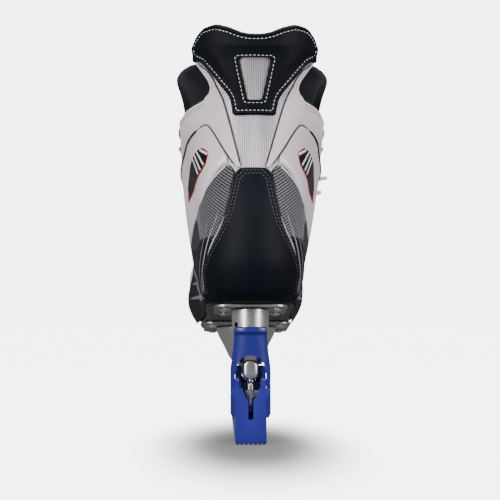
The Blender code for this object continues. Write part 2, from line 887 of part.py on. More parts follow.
def lace_half(first_side):
    """One end's run of the lace, from the lowest eyelet to the last laced one."""
    side = first_side
    points = through_eyelet(side, 0)
    for number in range(LACED_EYELETS - 1):
        points += crossing(side, number, over=first_side > 0)
        side = -side
        points += through_eyelet(side, number + 1)
    last = eyelet_height(LACED_EYELETS - 1)
    edge = THROAT_HALF(last)
    tail = [(edge - 2.2 * mm, 2 * mm, 1 * mm), (edge - 3.4 * mm, 4 * mm, -3 * mm)]
    tail += [(edge - 1 * mm, 6 * mm, UNDER), (edge + 5 * mm, 8 * mm, UNDER - 0.2 * mm)]
    tail += [(edge + 12 * mm, 10 * mm, UNDER - 0.2 * mm)]
    points += [from_front(side * across, last + rise, lift) for across, rise, lift in tail]
    return points


def smooth_route(points, spacing):
    """Points spaced evenly along a Catmull-Rom curve through the given ones."""
    padded = [2 * points[0] - points[1], *points, 2 * points[-1] - points[-2]]
    fine = []
    for i in range(1, len(padded) - 2):
        a, b, c, d = padded[i - 1 : i + 3]
        for k in range(8):
            t = k / 8
            fine.append(
                0.5
                * (
                    2 * b
                    + (c - a) * t
                    + (2 * a - 5 * b + 4 * c - d) * t * t
                    + (3 * b - a - 3 * c + d) * t**3
                )
            )
    fine.append(points[-1])
    line = np.array(fine)
    lengths = np.concatenate([[0], np.cumsum(np.linalg.norm(np.diff(line, axis=0), axis=1))])
    count = max(2, round(lengths[-1] / spacing))
    stops = np.linspace(0, lengths[-1], count + 1)
    return [Vector([np.interp(s, lengths, line[:, axis]) for axis in range(3)]) for s in stops]


bottom_bar = [
    from_front(side * THROAT_HALF(eyelet_height(0)) * 0.5, eyelet_height(0) - 1 * mm, -5.6 * mm)
    for side in (-1, 1)
]
lace_points = lace_half(-1)[::-1] + bottom_bar + lace_half(1)
lace_curve = bpy.data.curves.new("lace", "CURVE")
lace_curve.dimensions = "3D"
lace_curve.bevel_depth = LACE_RADIUS
lace_curve.bevel_resolution = 1
lace_curve.use_fill_caps = True
route = smooth_route(lace_points, 5 * mm)
lace_line = lace_curve.splines.new("POLY")
lace_line.points.add(len(route) - 1)
for dot, spot in zip(lace_line.points, route):
    dot.co = (*spot, 1)
lace_holder = bpy.data.objects.new("lace", lace_curve)
skate.objects.link(lace_holder)
lace = smooth_shaded(meshed(lace_holder, LACE_COTTON, Matrix()), 60)

# ---------------------------------------------------------------- tube, blade and cups

SIDE_STRAIGHT = (TUBE_HEIGHT - TUBE_WIDTH) / 2
TUBE_MIDDLE = (TUBE_BOTTOM + TUBE_TOP) / 2


def tube_section(radius, gap_half=0.0, steps=8):
    """Half-round top and bottom joined by straight sides; a gap leaves the bottom open."""
    lean = math.degrees(math.asin(gap_half / radius)) if gap_half else 0
    top = arc_points((0, TUBE_MIDDLE + SIDE_STRAIGHT), radius, 0, 180, steps)
    left = arc_points((0, TUBE_MIDDLE - SIDE_STRAIGHT), radius, 180, 270 - lean, steps // 2)
    right = arc_points((0, TUBE_MIDDLE - SIDE_STRAIGHT), radius, 270 + lean, 360, steps // 2)
    return top + left + right


slot_half = BLADE_THICKNESS / 2 + FIT
outer = tube_section(TUBE_WIDTH / 2, slot_half)
inner = tube_section(TUBE_WIDTH / 2 - TUBE_WALL, slot_half)
turn_at = 9 + 5
tube_outline = outer[turn_at:] + outer[:turn_at] + (inner[turn_at:] + inner[:turn_at])[::-1]
blade_tube = outline_solid(
    "blade_tube", PLATED_STEEL, tube_outline, TUBE_HEEL, TUBE_TOE, "XZ"
)

BLADE_TOP = BLADE_BOTTOM + BLADE_DEPTH


def blade_edge(station):
    middle = (BLADE_HEEL + BLADE_TOE) / 2
    return BLADE_BOTTOM + (station - middle) ** 2 / (2 * BLADE_ROCKER)


run = [BLADE_HEEL + 13 * mm + (BLADE_TOE - BLADE_HEEL - 40 * mm) * i / 8 for i in range(9)]
blade_outline = [(station, blade_edge(station)) for station in run]
toe_start = blade_outline[-1]
blade_outline += [
    (toe_start[0] + 10 * mm, toe_start[1] + 2.6 * mm),
    (toe_start[0] + 18.5 * mm, toe_start[1] + 8 * mm),
    (toe_start[0] + 24.5 * mm, toe_start[1] + 16 * mm),
    (BLADE_TOE, TUBE_BOTTOM - 1 * mm),
    (BLADE_TOE - 4 * mm, TUBE_BOTTOM + 4 * mm),
    (TUBE_TOE + 8 * mm, BLADE_TOP - 1 * mm),
    (TUBE_TOE + 8 * mm, TUBE_BOTTOM - FIT),
    (TUBE_TOE - 1 * mm, TUBE_BOTTOM - FIT),
    (TUBE_TOE - 1 * mm, BLADE_TOP),
    (TUBE_HEEL + 1 * mm, BLADE_TOP),
    (TUBE_HEEL + 1 * mm, TUBE_BOTTOM - FIT),
    (BLADE_HEEL + 1.5 * mm, TUBE_BOTTOM - 2 * mm),
    (BLADE_HEEL, TUBE_BOTTOM - 6 * mm),
    (BLADE_HEEL + 1 * mm, BLADE_BOTTOM + 12 * mm),
    (BLADE_HEEL + 5 * mm, BLADE_BOTTOM + 4.5 * mm),
]
blade = outline_solid(
    "blade", BLADE_STEEL, blade_outline, -BLADE_THICKNESS / 2, BLADE_THICKNESS / 2, "YZ"
)


def tube_plug(name, station, way):
    """The rounded end that closes the tube, half-round seen from above."""
    radius = TUBE_WIDTH / 2
    start = station + way * FIT
    plan = [(x, start + way * y) for x, y in arc_points((0, 0), radius, 0, 180, 12)]
    plug = outline_solid(name, PLATED_STEEL, plan, TUBE_BOTTOM - FIT, TUBE_TOP + FIT, "XY")
    return boolean(plug, plug_section, "INTERSECT")


plug_section = outline_solid(
    "plug_section", None, tube_section(TUBE_WIDTH / 2), -200 * mm, 200 * mm, "XZ", cutters
)
tube_plug("tube_heel_plug", TUBE_HEEL, -1)
tube_plug("tube_toe_plug", TUBE_TOE, 1)


def cup(name, station, ring, steps):
    """A pressed cup that stands on the tube and carries a plate, cut to fit both."""
    made = turned_solid(name, PLATED_STEEL, ring, steps)
    made.location.y = station
    return boolean(boolean(made, tube_cutter), plate_cutter)


tube_cutter = outline_solid(
    "tube_cutter", None, tube_section(TUBE_WIDTH / 2 + FIT), -200 * mm, 200 * mm, "XZ", cutters
)
plate_cutter = block(
    "plate_cutter", None, (-0.1, -0.2, PLATE_TOP - PLATE_THICKNESS - FIT), (0.1, 0.25, 0.1), cutters
)
to_sole = Matrix.Translation((0, HEEL_STATION, HEEL_STAND)) @ Matrix.Rotation(-SOLE_PITCH, 4, "X")
plate_cutter.matrix_world = to_sole


def cup_ring(outside):
    """A closed ring from the outside points, top to bottom, and the same wall inside."""
    inside = [(max(r - CUP_WALL, 1 * mm), z + 0.2 * mm) for r, z in outside[::-1]]
    return outside + inside


heel_cup_top = HEEL_STAND
heel_cup = cup(
    "heel_cup",
    HEEL_CUP_STATION,
    cup_ring(
        [
            (HEEL_CUP_RADIUS, heel_cup_top),
            (HEEL_CUP_RADIUS - 0.2 * mm, heel_cup_top - 12 * mm),
            (HEEL_CUP_RADIUS - 0.9 * mm, TUBE_TOP + 12 * mm),
            (HEEL_CUP_RADIUS - 1.6 * mm, TUBE_TOP + 4 * mm),
            (HEEL_CUP_RADIUS - 3.6 * mm, TUBE_TOP - 2 * mm),
            (HEEL_CUP_RADIUS - 5.2 * mm, TUBE_TOP - 5 * mm),
        ]
    ),
    24,
)
vent_way = Vector((-math.sin(math.radians(52)), -math.cos(math.radians(52)), 0))
cup_axis = Vector((0, HEEL_CUP_STATION, VENT_HEIGHT))
vent = rod_cutter(
    "vent_cutter", cup_axis + vent_way * 6 * mm, cup_axis + vent_way * 22 * mm, VENT_RADIUS, 12
)
boolean(heel_cup, vent)

sole_cup_top = HEEL_STAND - 14 * mm
cup(
    "sole_cup",
    SOLE_CUP_STATION,
    cup_ring(
        [
            (SOLE_CUP_RADIUS, sole_cup_top),
            (SOLE_CUP_RADIUS - 0.6 * mm, TUBE_TOP + 17 * mm),
            (SOLE_CUP_RADIUS - 6 * mm, TUBE_TOP + 6 * mm),
            (SOLE_CUP_RADIUS - 11 * mm, TUBE_TOP - 4 * mm),
            (SOLE_CUP_RADIUS - 15 * mm, TUBE_TOP - 9 * mm),
        ]
    ),
    24,
)

# ---------------------------------------------------------------- plates and rivets


def on_sole(x, station, below=0.0):
    """A point on the pitched plane under the boot."""
    run_from_heel = (station - HEEL_STATION) / math.cos(SOLE_PITCH)
    return to_sole @ Vector((x, run_from_heel, below))


def plate(name, width, length, station):
    """A pressed plate lying under the pitched sole, with rounded corners."""
    half, reach = width / 2, length / 2
    corners = []
    for turn, (sx, sy) in enumerate(((1, 1), (-1, 1), (-1, -1), (1, -1))):
        centre = (sx * (half - PLATE_CORNER), sy * (reach - PLATE_CORNER))
        corners += arc_points(centre, PLATE_CORNER, 90 * turn, 90 * turn + 90, 4)
    made = outline_solid(name, PLATED_STEEL, corners, PLATE_TOP - PLATE_THICKNESS, PLATE_TOP, "XY")
    middle = on_sole(0, station)
    made.matrix_world = Matrix.Translation(middle) @ Matrix.Rotation(-SOLE_PITCH, 4, "X")
    edge = made.modifiers.new("edge", "BEVEL")
    edge.width = PLATE_EDGE
    edge.segments = 2
    edge.limit_method = "ANGLE"
    edge.angle_limit = math.radians(60)
    return made


heel_plate = plate("heel_plate", HEEL_PLATE_WIDTH, HEEL_PLATE_LENGTH, HEEL_PLATE_STATION)
sole_plate = plate("sole_plate", SOLE_PLATE_WIDTH, SOLE_PLATE_LENGTH, SOLE_CUP_STATION)

RIVET_TOP = BOARD_TOP + 0.4 * mm
for plate_object, plate_name, half, reach, station in (
    (heel_plate, "heel", HEEL_PLATE_WIDTH / 2, HEEL_PLATE_LENGTH / 2, HEEL_PLATE_STATION),
    (sole_plate, "sole", SOLE_PLATE_WIDTH / 2, SOLE_PLATE_LENGTH / 2, SOLE_CUP_STATION),
):
    for number, (sx, sy) in enumerate(((1, 1), (-1, 1), (-1, -1), (1, -1))):
        x, y = sx * (half - RIVET_EDGE), station + sy * (reach - 2 * RIVET_EDGE)
        underside = PLATE_TOP - PLATE_THICKNESS - FIT
        rivet = turned_solid(
            f"{plate_name}_rivet_{number + 1}",
            PLATED_STEEL,
            [
                (0, RIVET_TOP + 1.4 * mm),
                (RIVET_HEAD - 0.8 * mm, RIVET_TOP + 1.4 * mm),
                (RIVET_HEAD - 0.6 * mm, RIVET_TOP),
                (RIVET_RADIUS, RIVET_TOP),
                (RIVET_RADIUS, underside),
                (RIVET_HEAD, underside),
                (RIVET_HEAD * 0.8, underside - RIVET_HEAD_HEIGHT * 0.7),
                (0, underside - RIVET_HEAD_HEIGHT),
            ],
            8,
        )
        rivet.matrix_world = Matrix.Translation(on_sole(x, y)) @ Matrix.Rotation(-SOLE_PITCH, 4, "X")
        hole = rod_cutter(
            f"{plate_name}_rivet_hole_{number + 1}",
            on_sole(x, y, -15 * mm),
            on_sole(x, y, RIVET_TOP + 1 * mm),
            RIVET_RADIUS + FIT,
            8,
        )
        for layer in (plate_object, outsole, lasting_board):
            boolean(layer, hole)

# ---------------------------------------------------------------- blade guard


def rib_line():
    """The guard's underside from right to left: lengthwise ribs that stand on the floor."""
    points = []
    ribs = int((GUARD_HALF_WIDTH - RIB_WIDTH / 2) // RIB_PITCH)
    for number in range(ribs, -ribs - 1, -1):
        middle = number * RIB_PITCH
        for way in (1, -1):
            edge = middle + way * RIB_WIDTH / 2
            root = edge + way * 0.35 * mm
            arched = RIB_DEPTH + 0.4 * mm * (1 - (root / GUARD_HALF_WIDTH) ** 2)
            points += [(root, arched), (edge, 0)][::way]
    return points


def mirrored(half):
    """A half outline up the left side, and the same down the right."""
    return half + [(-x, z) for x, z in half[::-1]]


channel_half = [
    (-GUARD_HALF_WIDTH, RIB_DEPTH),
    (-GUARD_HALF_WIDTH, GUARD_WALL_TOP - 2.5 * mm),
    (-GUARD_HALF_WIDTH + 1 * mm, GUARD_WALL_TOP),
    (-5 * mm, GUARD_WALL_TOP),
    (-SLOT_HALF_WIDTH, GUARD_WALL_TOP - 5 * mm),
    (-SLOT_HALF_WIDTH, GUARD_FLOOR),
]
guard_body = outline_solid(
    "guard_body",
    BLUE_PLASTIC,
    mirrored(channel_half) + rib_line(),
    GUARD_HEEL + 1 * mm,
    GUARD_TOE,
    "XZ",
)
ear_half = [
    (-GUARD_HALF_WIDTH - MELD, RIB_DEPTH + 0.5 * mm),
    (-GUARD_HALF_WIDTH - MELD, GUARD_WALL_TOP - 1.5 * mm),
    (-EAR_HALF_WIDTH, EAR_TOP - 3 * mm),
    (-EAR_HALF_WIDTH, EAR_TOP - 0.8 * mm),
    (-EAR_HALF_WIDTH + 0.8 * mm, EAR_TOP),
    (-6 * mm, EAR_TOP),
    (-5.4 * mm, EAR_TOP - 3.2 * mm),
    (-3.8 * mm, EAR_TOP - 6.6 * mm),
    (-SLOT_HALF_WIDTH - MELD, EAR_TOP - 8.6 * mm),
    (-SLOT_HALF_WIDTH - MELD, GUARD_FLOOR - MELD),
]
ear_block = outline_solid(
    "ear_block",
    None,
    mirrored(ear_half),
    GUARD_HEEL,
    GUARD_HEEL + EAR_THICKNESS,
    "XZ",
    cutters,
)
toe_block = block(
    "toe_block",
    None,
    (-SLOT_HALF_WIDTH - 1 * mm, BLADE_TOE + 1.5 * mm, GUARD_FLOOR - 1 * mm),
    (SLOT_HALF_WIDTH + 1 * mm, GUARD_TOE - 0.5 * mm, GUARD_WALL_TOP - 6 * mm),
    cutters,
)
boolean(guard_body, ear_block, "UNION")
boolean(guard_body, toe_block, "UNION")
for side, side_name in ((1, "right"), (-1, "left")):
    cheek_plan = [
        (PIVOT_STATION - 5.8 * mm, GUARD_WALL_TOP - 8 * mm),
        (PIVOT_STATION + 5.8 * mm, GUARD_WALL_TOP - 8 * mm),
    ]
    cheek_plan += arc_points((PIVOT_STATION, CHEEK_TOP - 5.5 * mm), 5.5 * mm, 0, 180, 8)
    edges = sorted((side * CHEEK_INNER, side * (GUARD_HALF_WIDTH + MELD)))
    cheek = outline_solid(f"cheek_{side_name}", None, cheek_plan, *edges, "YZ", cutters)
    trunnion = rod_cutter(
        f"trunnion_{side_name}",
        Vector((side * (CHEEK_INNER + 1 * mm), PIVOT_STATION, PIVOT_HEIGHT)),
        Vector((side * PIVOT_REACH, PIVOT_STATION, PIVOT_HEIGHT)),
        PIVOT_RADIUS,
        16,
    )
    boolean(guard_body, cheek, "UNION")
    web_start = PIVOT_STATION + 1 * mm
    near, far = sorted((side * WEB_INNER, side * (GUARD_HALF_WIDTH - MELD)))
    web = block(
        f"web_{side_name}",
        None,
        (near, web_start, GUARD_WALL_TOP - 8.4 * mm),
        (far, web_start + WEB_LENGTH, WEB_TOP),
        cutters,
    )
    boolean(guard_body, web, "UNION")
    boolean(guard_body, trunnion, "UNION")

latch_inner = HEEL_CUP_RADIUS + LATCH_CLEARANCE
latch_outer = latch_inner + LATCH_WALL
guard_latch = turned_solid(
    "guard_latch",
    BLUE_PLASTIC,
    [
        (latch_inner, LATCH_TOP),
        (latch_outer + LATCH_LIP - 0.8 * mm, LATCH_TOP),
        (latch_outer + LATCH_LIP, LATCH_TOP - 0.8 * mm),
        (latch_outer + LATCH_LIP, LATCH_TOP - 3.4 * mm),
        (latch_outer, LATCH_TOP - 6 * mm),
        (latch_outer, LATCH_FOOT),
        (latch_inner, LATCH_FOOT),
    ],
    56,
)
guard_latch.location.y = HEEL_CUP_STATION

arm_inner = GUARD_HALF_WIDTH + FIT
arm_outer = EAR_HALF_WIDTH + 0.8 * mm
arch = [(ARCH_HALF_WIDTH * math.cos(t), math.sin(t)) for t in np.linspace(math.pi / 2, 0, 7)]
arch_spring = ARCH_TOP - 10 * mm
latch_half = [
    (0, LATCH_TOP + 1 * mm),
    (-10.4 * mm, LATCH_TOP + 1 * mm),
    (-12 * mm, LATCH_TOP - 2 * mm),
    (-12 * mm, LATCH_TOP - 8 * mm),
    (-13 * mm, ARCH_TOP + 2 * mm),
    (-arm_outer, ARCH_TOP - 10 * mm),
    (-arm_outer, LATCH_FOOT + 3 * mm),
    (-arm_outer + 2 * mm, LATCH_FOOT - 1 * mm),
    (-arm_inner, LATCH_FOOT - 1 * mm),
    (-arm_inner, CHEEK_TOP + 0.6 * mm),
    *[(-x, arch_spring + 10 * mm * rise) for x, rise in arch[::-1]],
]
latch_outline = latch_half + [(-x, z) for x, z in latch_half[-2:0:-1]]
latch_shape = outline_solid(
    "latch_shape",
    None,
    latch_outline,
    HEEL_CUP_STATION - latch_outer - LATCH_LIP - 2 * mm,
    PIVOT_STATION + 5 * mm,
    "XZ",
    cutters,
)
boolean(guard_latch, latch_shape, "INTERSECT")
latch_bore = rod_cutter(
    "latch_bore",
    Vector((-0.03, PIVOT_STATION, PIVOT_HEIGHT)),
    Vector((0.03, PIVOT_STATION, PIVOT_HEIGHT)),
    PIVOT_RADIUS + FIT,
    16,
)
boolean(guard_latch, latch_bore)
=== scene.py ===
"""The looks of a hockey skate standing in its blade guard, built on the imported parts."""

import math

import bpy
import numpy as np
from mathutils import Matrix, Vector
from mathutils.kdtree import KDTree


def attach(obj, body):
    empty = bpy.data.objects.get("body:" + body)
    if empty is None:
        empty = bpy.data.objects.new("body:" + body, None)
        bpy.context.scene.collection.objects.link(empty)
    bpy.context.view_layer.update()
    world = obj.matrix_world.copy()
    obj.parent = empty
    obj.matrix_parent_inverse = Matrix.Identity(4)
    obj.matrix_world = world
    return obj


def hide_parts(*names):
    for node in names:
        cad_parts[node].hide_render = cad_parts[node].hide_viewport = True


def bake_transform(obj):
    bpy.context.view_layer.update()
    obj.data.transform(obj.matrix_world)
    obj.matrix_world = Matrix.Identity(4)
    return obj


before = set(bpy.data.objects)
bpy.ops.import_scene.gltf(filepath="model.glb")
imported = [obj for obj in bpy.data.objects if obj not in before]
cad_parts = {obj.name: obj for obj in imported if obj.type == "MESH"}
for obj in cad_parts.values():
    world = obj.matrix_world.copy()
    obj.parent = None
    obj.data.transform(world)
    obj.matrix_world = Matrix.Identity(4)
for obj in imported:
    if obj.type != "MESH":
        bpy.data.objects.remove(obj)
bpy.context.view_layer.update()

# ---------------------------------------------------------------- outsole
# The sole is one moulded black plate that closes the boot underneath and carries both steel
# plates. It has the boot's outline, which every part of the upper is cut to as well: a place on
# the boot is how far round from the centre back, how high above the sole, and how far outwards.
mm = 0.001
HEEL_STAND = 101 * mm
SOLE_PITCH = math.radians(5.1)
HEEL_STATION = -120 * mm
TOE_SPRING_START = 90 * mm
TOE_SPRING = 3.2
BOOT_LEAN = 0.016
LAYER_GAP = 0.6 * mm


def curve_through(*points):
    """A smooth curve through (x, y) points that never overshoots between them."""
    x, y = np.array(points, float).T
    rise = np.diff(y) / np.diff(x)
    slope = np.zeros(len(x))
    slope[0], slope[-1] = rise[0], rise[-1]
    for i in range(1, len(x) - 1):
        if rise[i - 1] * rise[i] > 0:
            slope[i] = 2 * rise[i - 1] * rise[i] / (rise[i - 1] + rise[i])

    def value(q):
        q = np.clip(q, x[0], x[-1])
        i = np.clip(np.searchsorted(x, q) - 1, 0, len(x) - 2)
        span = x[i + 1] - x[i]
        t = (q - x[i]) / span
        start = (1 + 2 * t) * (1 - t) ** 2 * y[i] + t * (1 - t) ** 2 * span * slope[i]
        end = t * t * (3 - 2 * t) * y[i + 1] + t * t * (t - 1) * span * slope[i + 1]
        return start + end

    return value


def seam(*points):
    """A seam or profile from (x, y) points in millimetres, as a curve in metres."""
    curve = curve_through(*points)
    return lambda q: curve(q / mm) * mm


def ease(t):
    t = np.clip(t, 0, 1)
    return t * t * (3 - 2 * t)


BACK = seam(
    (0, -127), (12, -135), (30, -139), (55, -136), (85, -130),
    (115, -127), (140, -128), (165, -132), (185, -137), (210, -144),
)
FRONT = seam(
    (0, 138), (10, 143), (24, 143), (38, 134), (48, 118), (55, 96), (62, 76), (74, 54),
    (90, 34), (106, 19), (122, 9), (138, 4), (152, 3), (170, 6), (215, 20),
)
HEEL_HALF = seam(
    (0, 32), (12, 36), (30, 38), (55, 37), (85, 39), (115, 45), (140, 51), (210, 50)
)
ANKLE_HALF = seam(
    (0, 32), (15, 37), (40, 42), (74, 48), (101, 51.5),
    (125, 55.5), (140, 57), (165, 60), (190, 67), (215, 66),
)
BALL_HALF = seam(
    (0, 36), (5, 40), (12, 44), (20, 46.5), (40, 47), (52, 43), (62, 34), (215, 34)
)
BACK_ROUND = seam((0, 40), (30, 42), (85, 46), (115, 50), (150, 52), (210, 52))
FRONT_ROUND = seam((0, 62), (40, 62), (60, 45), (90, 45), (140, 58), (210, 60))
TOE_SWING = seam((-150, 0), (0, 0), (60, -1), (110, -4), (145, -7))


def sole_line(y):
    spring = np.maximum(y - TOE_SPRING_START, 0) ** 2 * TOE_SPRING
    return HEEL_STAND - math.tan(SOLE_PITCH) * (y - HEEL_STATION) + spring


FORM_STEP = 0.5 * mm
FORM_HEIGHTS = np.arange(0, 431) * FORM_STEP
FORM_COLUMNS = 1600


def form_row(height):
    """One outline of the boot: half widths and stations at even steps round, and its length."""
    back, front = BACK(height), FRONT(height)
    y = (back + front) / 2 - (front - back) / 2 * np.cos(np.linspace(0, math.pi, 900))
    to_ankle, to_ball = ease((y + 95 * mm) / (65 * mm)), ease((y + 15 * mm) / (75 * mm))
    heel, ankle, ball = HEEL_HALF(height), ANKLE_HALF(height), BALL_HALF(height)
    half = heel + (ankle - heel) * to_ankle + (ball - ankle) * to_ball
    near_back = np.clip((y - back) / BACK_ROUND(height), 0, 1)
    near_front = np.clip((front - y) / FRONT_ROUND(height), 0, 1)
    x = half * np.sqrt(1 - (1 - near_back) ** 2) * np.sqrt(1 - (1 - near_front) ** 2)
    lengths = np.concatenate([[0], np.cumsum(np.hypot(np.diff(x), np.diff(y)))])
    even = np.linspace(0, lengths[-1], FORM_COLUMNS + 1)
    return np.interp(even, lengths, x), np.interp(even, lengths, y), lengths[-1]


form_rows = [form_row(height) for height in FORM_HEIGHTS]
FORM_X = np.array([row[0] for row in form_rows])
FORM_Y = np.array([row[1] for row in form_rows])
FORM_GIRTH = np.array([row[2] for row in form_rows])


def girth(height):
    return np.interp(height, FORM_HEIGHTS, FORM_GIRTH)


def place(around, height):
    """Points of the boot's surface; past the centre front they carry on down the other side."""
    around, height = np.broadcast_arrays(np.asarray(around, float), np.asarray(height, float))
    reach = girth(height)
    far = np.abs(around)
    side = np.where(around < 0, -1.0, 1.0) * np.where(far > reach, -1.0, 1.0)
    far = np.where(far > reach, 2 * reach - far, far)
    row = np.clip(height / FORM_STEP, 0, len(FORM_HEIGHTS) - 1)
    column = np.clip(far / reach * FORM_COLUMNS, 0, FORM_COLUMNS)
    i = np.minimum(row.astype(int), len(FORM_HEIGHTS) - 2)
    j = np.minimum(column.astype(int), FORM_COLUMNS - 1)
    up, on = row - i, column - j

    def read(form):
        low = form[i, j] * (1 - on) + form[i, j + 1] * on
        high = form[i + 1, j] * (1 - on) + form[i + 1, j + 1] * on
        return low * (1 - up) + high * up

    x, y = read(FORM_X), read(FORM_Y)
    return np.stack([side * x + TOE_SWING(y) + BOOT_LEAN * height, y, sole_line(y) + height], -1)


def facing(around, height):
    """The outward directions of the boot's surface."""
    step = 1.2 * mm
    along = place(around + step, height) - place(around - step, height)
    rise = place(around, height + step) - place(around, height - step)
    out = np.cross(along, rise)
    return out / np.maximum(np.linalg.norm(out, axis=-1, keepdims=True), 1e-12)


def on_boot(around, height, lift):
    around, height = np.asarray(around, float), np.asarray(height, float)
    return place(around, height) + facing(around, height) * np.asarray(lift)[..., None]


def round_from_front(across, height):
    """The distance round from the centre back of a place given from the centre front."""
    reach = girth(height)
    return np.where(across >= 0, reach - np.abs(across), np.abs(across) - reach)


def picked(piece):
    """Selects one piece alone and makes it the active one."""
    bpy.ops.object.select_all(action="DESELECT")
    piece.select_set(True)
    bpy.context.view_layer.objects.active = piece
    return piece


def grid_piece(name, columns, rows):
    """A new grid, doubled with its second layer turned over, and its shares across and up."""
    bpy.ops.object.select_all(action="DESELECT")
    bpy.ops.mesh.primitive_grid_add(x_subdivisions=columns, y_subdivisions=rows, size=2)
    bpy.ops.object.mode_set(mode="EDIT")
    bpy.ops.mesh.select_all(action="SELECT")
    bpy.ops.mesh.duplicate()
    bpy.ops.mesh.flip_normals()
    bpy.ops.object.mode_set(mode="OBJECT")
    piece = bpy.context.object
    piece.name = piece.data.name = name
    grid = np.zeros(len(piece.data.vertices) * 3)
    piece.data.vertices.foreach_get("co", grid)
    grid = grid.reshape(-1, 3)[: len(grid) // 6]
    return piece, (grid[:, 0] + 1) / 2, (grid[:, 1] + 1) / 2


def closed(piece, top, bottom, cloth, sharp=50):
    """Puts both layers of a grid piece in place, sews their rims and keeps its flat pattern."""
    mesh = piece.data
    both = np.concatenate([top, bottom]).astype(np.float32)
    mesh.vertices.foreach_set("co", both.ravel())
    corners = np.zeros(len(mesh.loops), int)
    mesh.loops.foreach_get("vertex_index", corners)
    pattern = np.concatenate([cloth, cloth])[corners].astype(np.float32)
    mesh.uv_layers.new(name="cloth")
    for other in [one.name for one in mesh.uv_layers if one.name != "cloth"]:
        mesh.uv_layers.remove(mesh.uv_layers[other])
    mesh.uv_layers["cloth"].data.foreach_set("uv", pattern.ravel())
    bpy.ops.object.mode_set(mode="EDIT")
    bpy.ops.mesh.select_all(action="SELECT")
    bpy.ops.mesh.remove_doubles(threshold=0.002 * mm)
    bpy.ops.object.mode_set(mode="OBJECT")
    bpy.ops.object.shade_smooth_by_angle(angle=math.radians(sharp))
    return piece


def rim_distance(points, a, b):
    """How far each point of a laid grid is from the nearest rim."""
    order = np.lexsort((a, b))
    columns = len(np.unique(np.round(a, 6)))
    laid = points[order].reshape(-1, columns, 3)
    finder = KDTree(16 * (len(laid) + columns))
    for line in (laid[0], laid[-1], laid[:, 0], laid[:, -1]):
        for share in np.arange(8) / 8:
            for spot in line[:-1] + (line[1:] - line[:-1]) * share:
                finder.insert(spot, 0)
    finder.balance()
    found = np.array([finder.find(spot)[2] for spot in laid.reshape(-1, 3)]).reshape(laid.shape[:2])
    found[[0, -1]] = found[:, [0, -1]] = 0
    distance = np.zeros(len(points))
    distance[order] = found.ravel()
    return distance


def bunched(share, pull=0.8):
    """Even shares drawn towards both ends, so that a rolled edge has enough lines."""
    return share - pull * np.sin(2 * np.pi * share) / (2 * np.pi)


def quarter_round(distance, radius):
    """0 at a rim, rising as a quarter circle to 1 at the radius."""
    return np.sqrt(1 - (1 - np.clip(distance / radius, 0, 1)) ** 2)


def node(tree, kind, inputs=(), **settings):
    """A shader node with its inputs set to values or joined to other nodes' outputs."""
    made = tree.nodes.new("ShaderNode" + kind)
    for key, value in settings.items():
        setattr(made, key, value)
    for key, value in dict(inputs).items():
        if isinstance(value, bpy.types.NodeSocket):
            tree.links.new(value, made.inputs[key])
        else:
            made.inputs[key].default_value = value
    return made


def new_finish(name, **constants):
    """A material, its nodes, its shader with these constants set, and Object coordinates."""
    made = bpy.data.materials.new(name)
    made.use_nodes = True
    tree = made.node_tree
    shader = tree.nodes["Principled BSDF"]
    for key, value in constants.items():
        shader.inputs[key.replace("_", " ")].default_value = value
    return made, tree, shader, node(tree, "TexCoord").outputs["Object"]


def mapped(tree, fac, low, high):
    """A share turned into a value from low to high."""
    return node(tree, "MapRange", {"Value": fac, "To Min": low, "To Max": high}).outputs[0]


def shaded(tree, fac, dark, light):
    """A colour between two, at a share."""
    mix = node(tree, "Mix", {0: fac, 6: (*dark, 1), 7: (*light, 1)}, data_type="RGBA")
    return mix.outputs[2]


def bumped(tree, shader, height, distance, strength=1.0):
    made = node(tree, "Bump", {"Height": height, "Distance": distance, "Strength": strength})
    tree.links.new(made.outputs[0], shader.inputs["Normal"])


def moulded_finish(name, dark, light, roughness, grain, depth, **constants):
    """Moulded plastic: a little uneven in colour and gloss, with a fine grain from its mould."""
    made, tree, shader, coords = new_finish(name, **constants)
    patches = node(tree, "TexNoise", {"Vector": coords, "Scale": 28, "Detail": 3}).outputs[0]
    fine = node(tree, "TexNoise", {"Vector": coords, "Scale": grain, "Detail": 3}).outputs[0]
    tree.links.new(shaded(tree, patches, dark, light), shader.inputs["Base Color"])
    tree.links.new(mapped(tree, patches, *roughness), shader.inputs["Roughness"])
    bumped(tree, shader, fine, depth)
    return made


def fit(piece, body, slot, finish, *nodes):
    """Gives a piece its finish and its body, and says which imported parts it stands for."""
    piece.data.materials.clear()
    piece.data.materials.append(finish)
    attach(piece, body)
    if nodes:
        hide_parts(*nodes)
    return piece


OUTSOLE_THICKNESS = 5 * mm
OUTSOLE_EDGE = 0.8 * mm
END_SHARE = 0.008
SOLE_PLASTIC = moulded_finish(
    "sole_plastic", (0.006, 0.006, 0.008), (0.014, 0.014, 0.016), (0.38, 0.55), 1800, 0.08 * mm
)


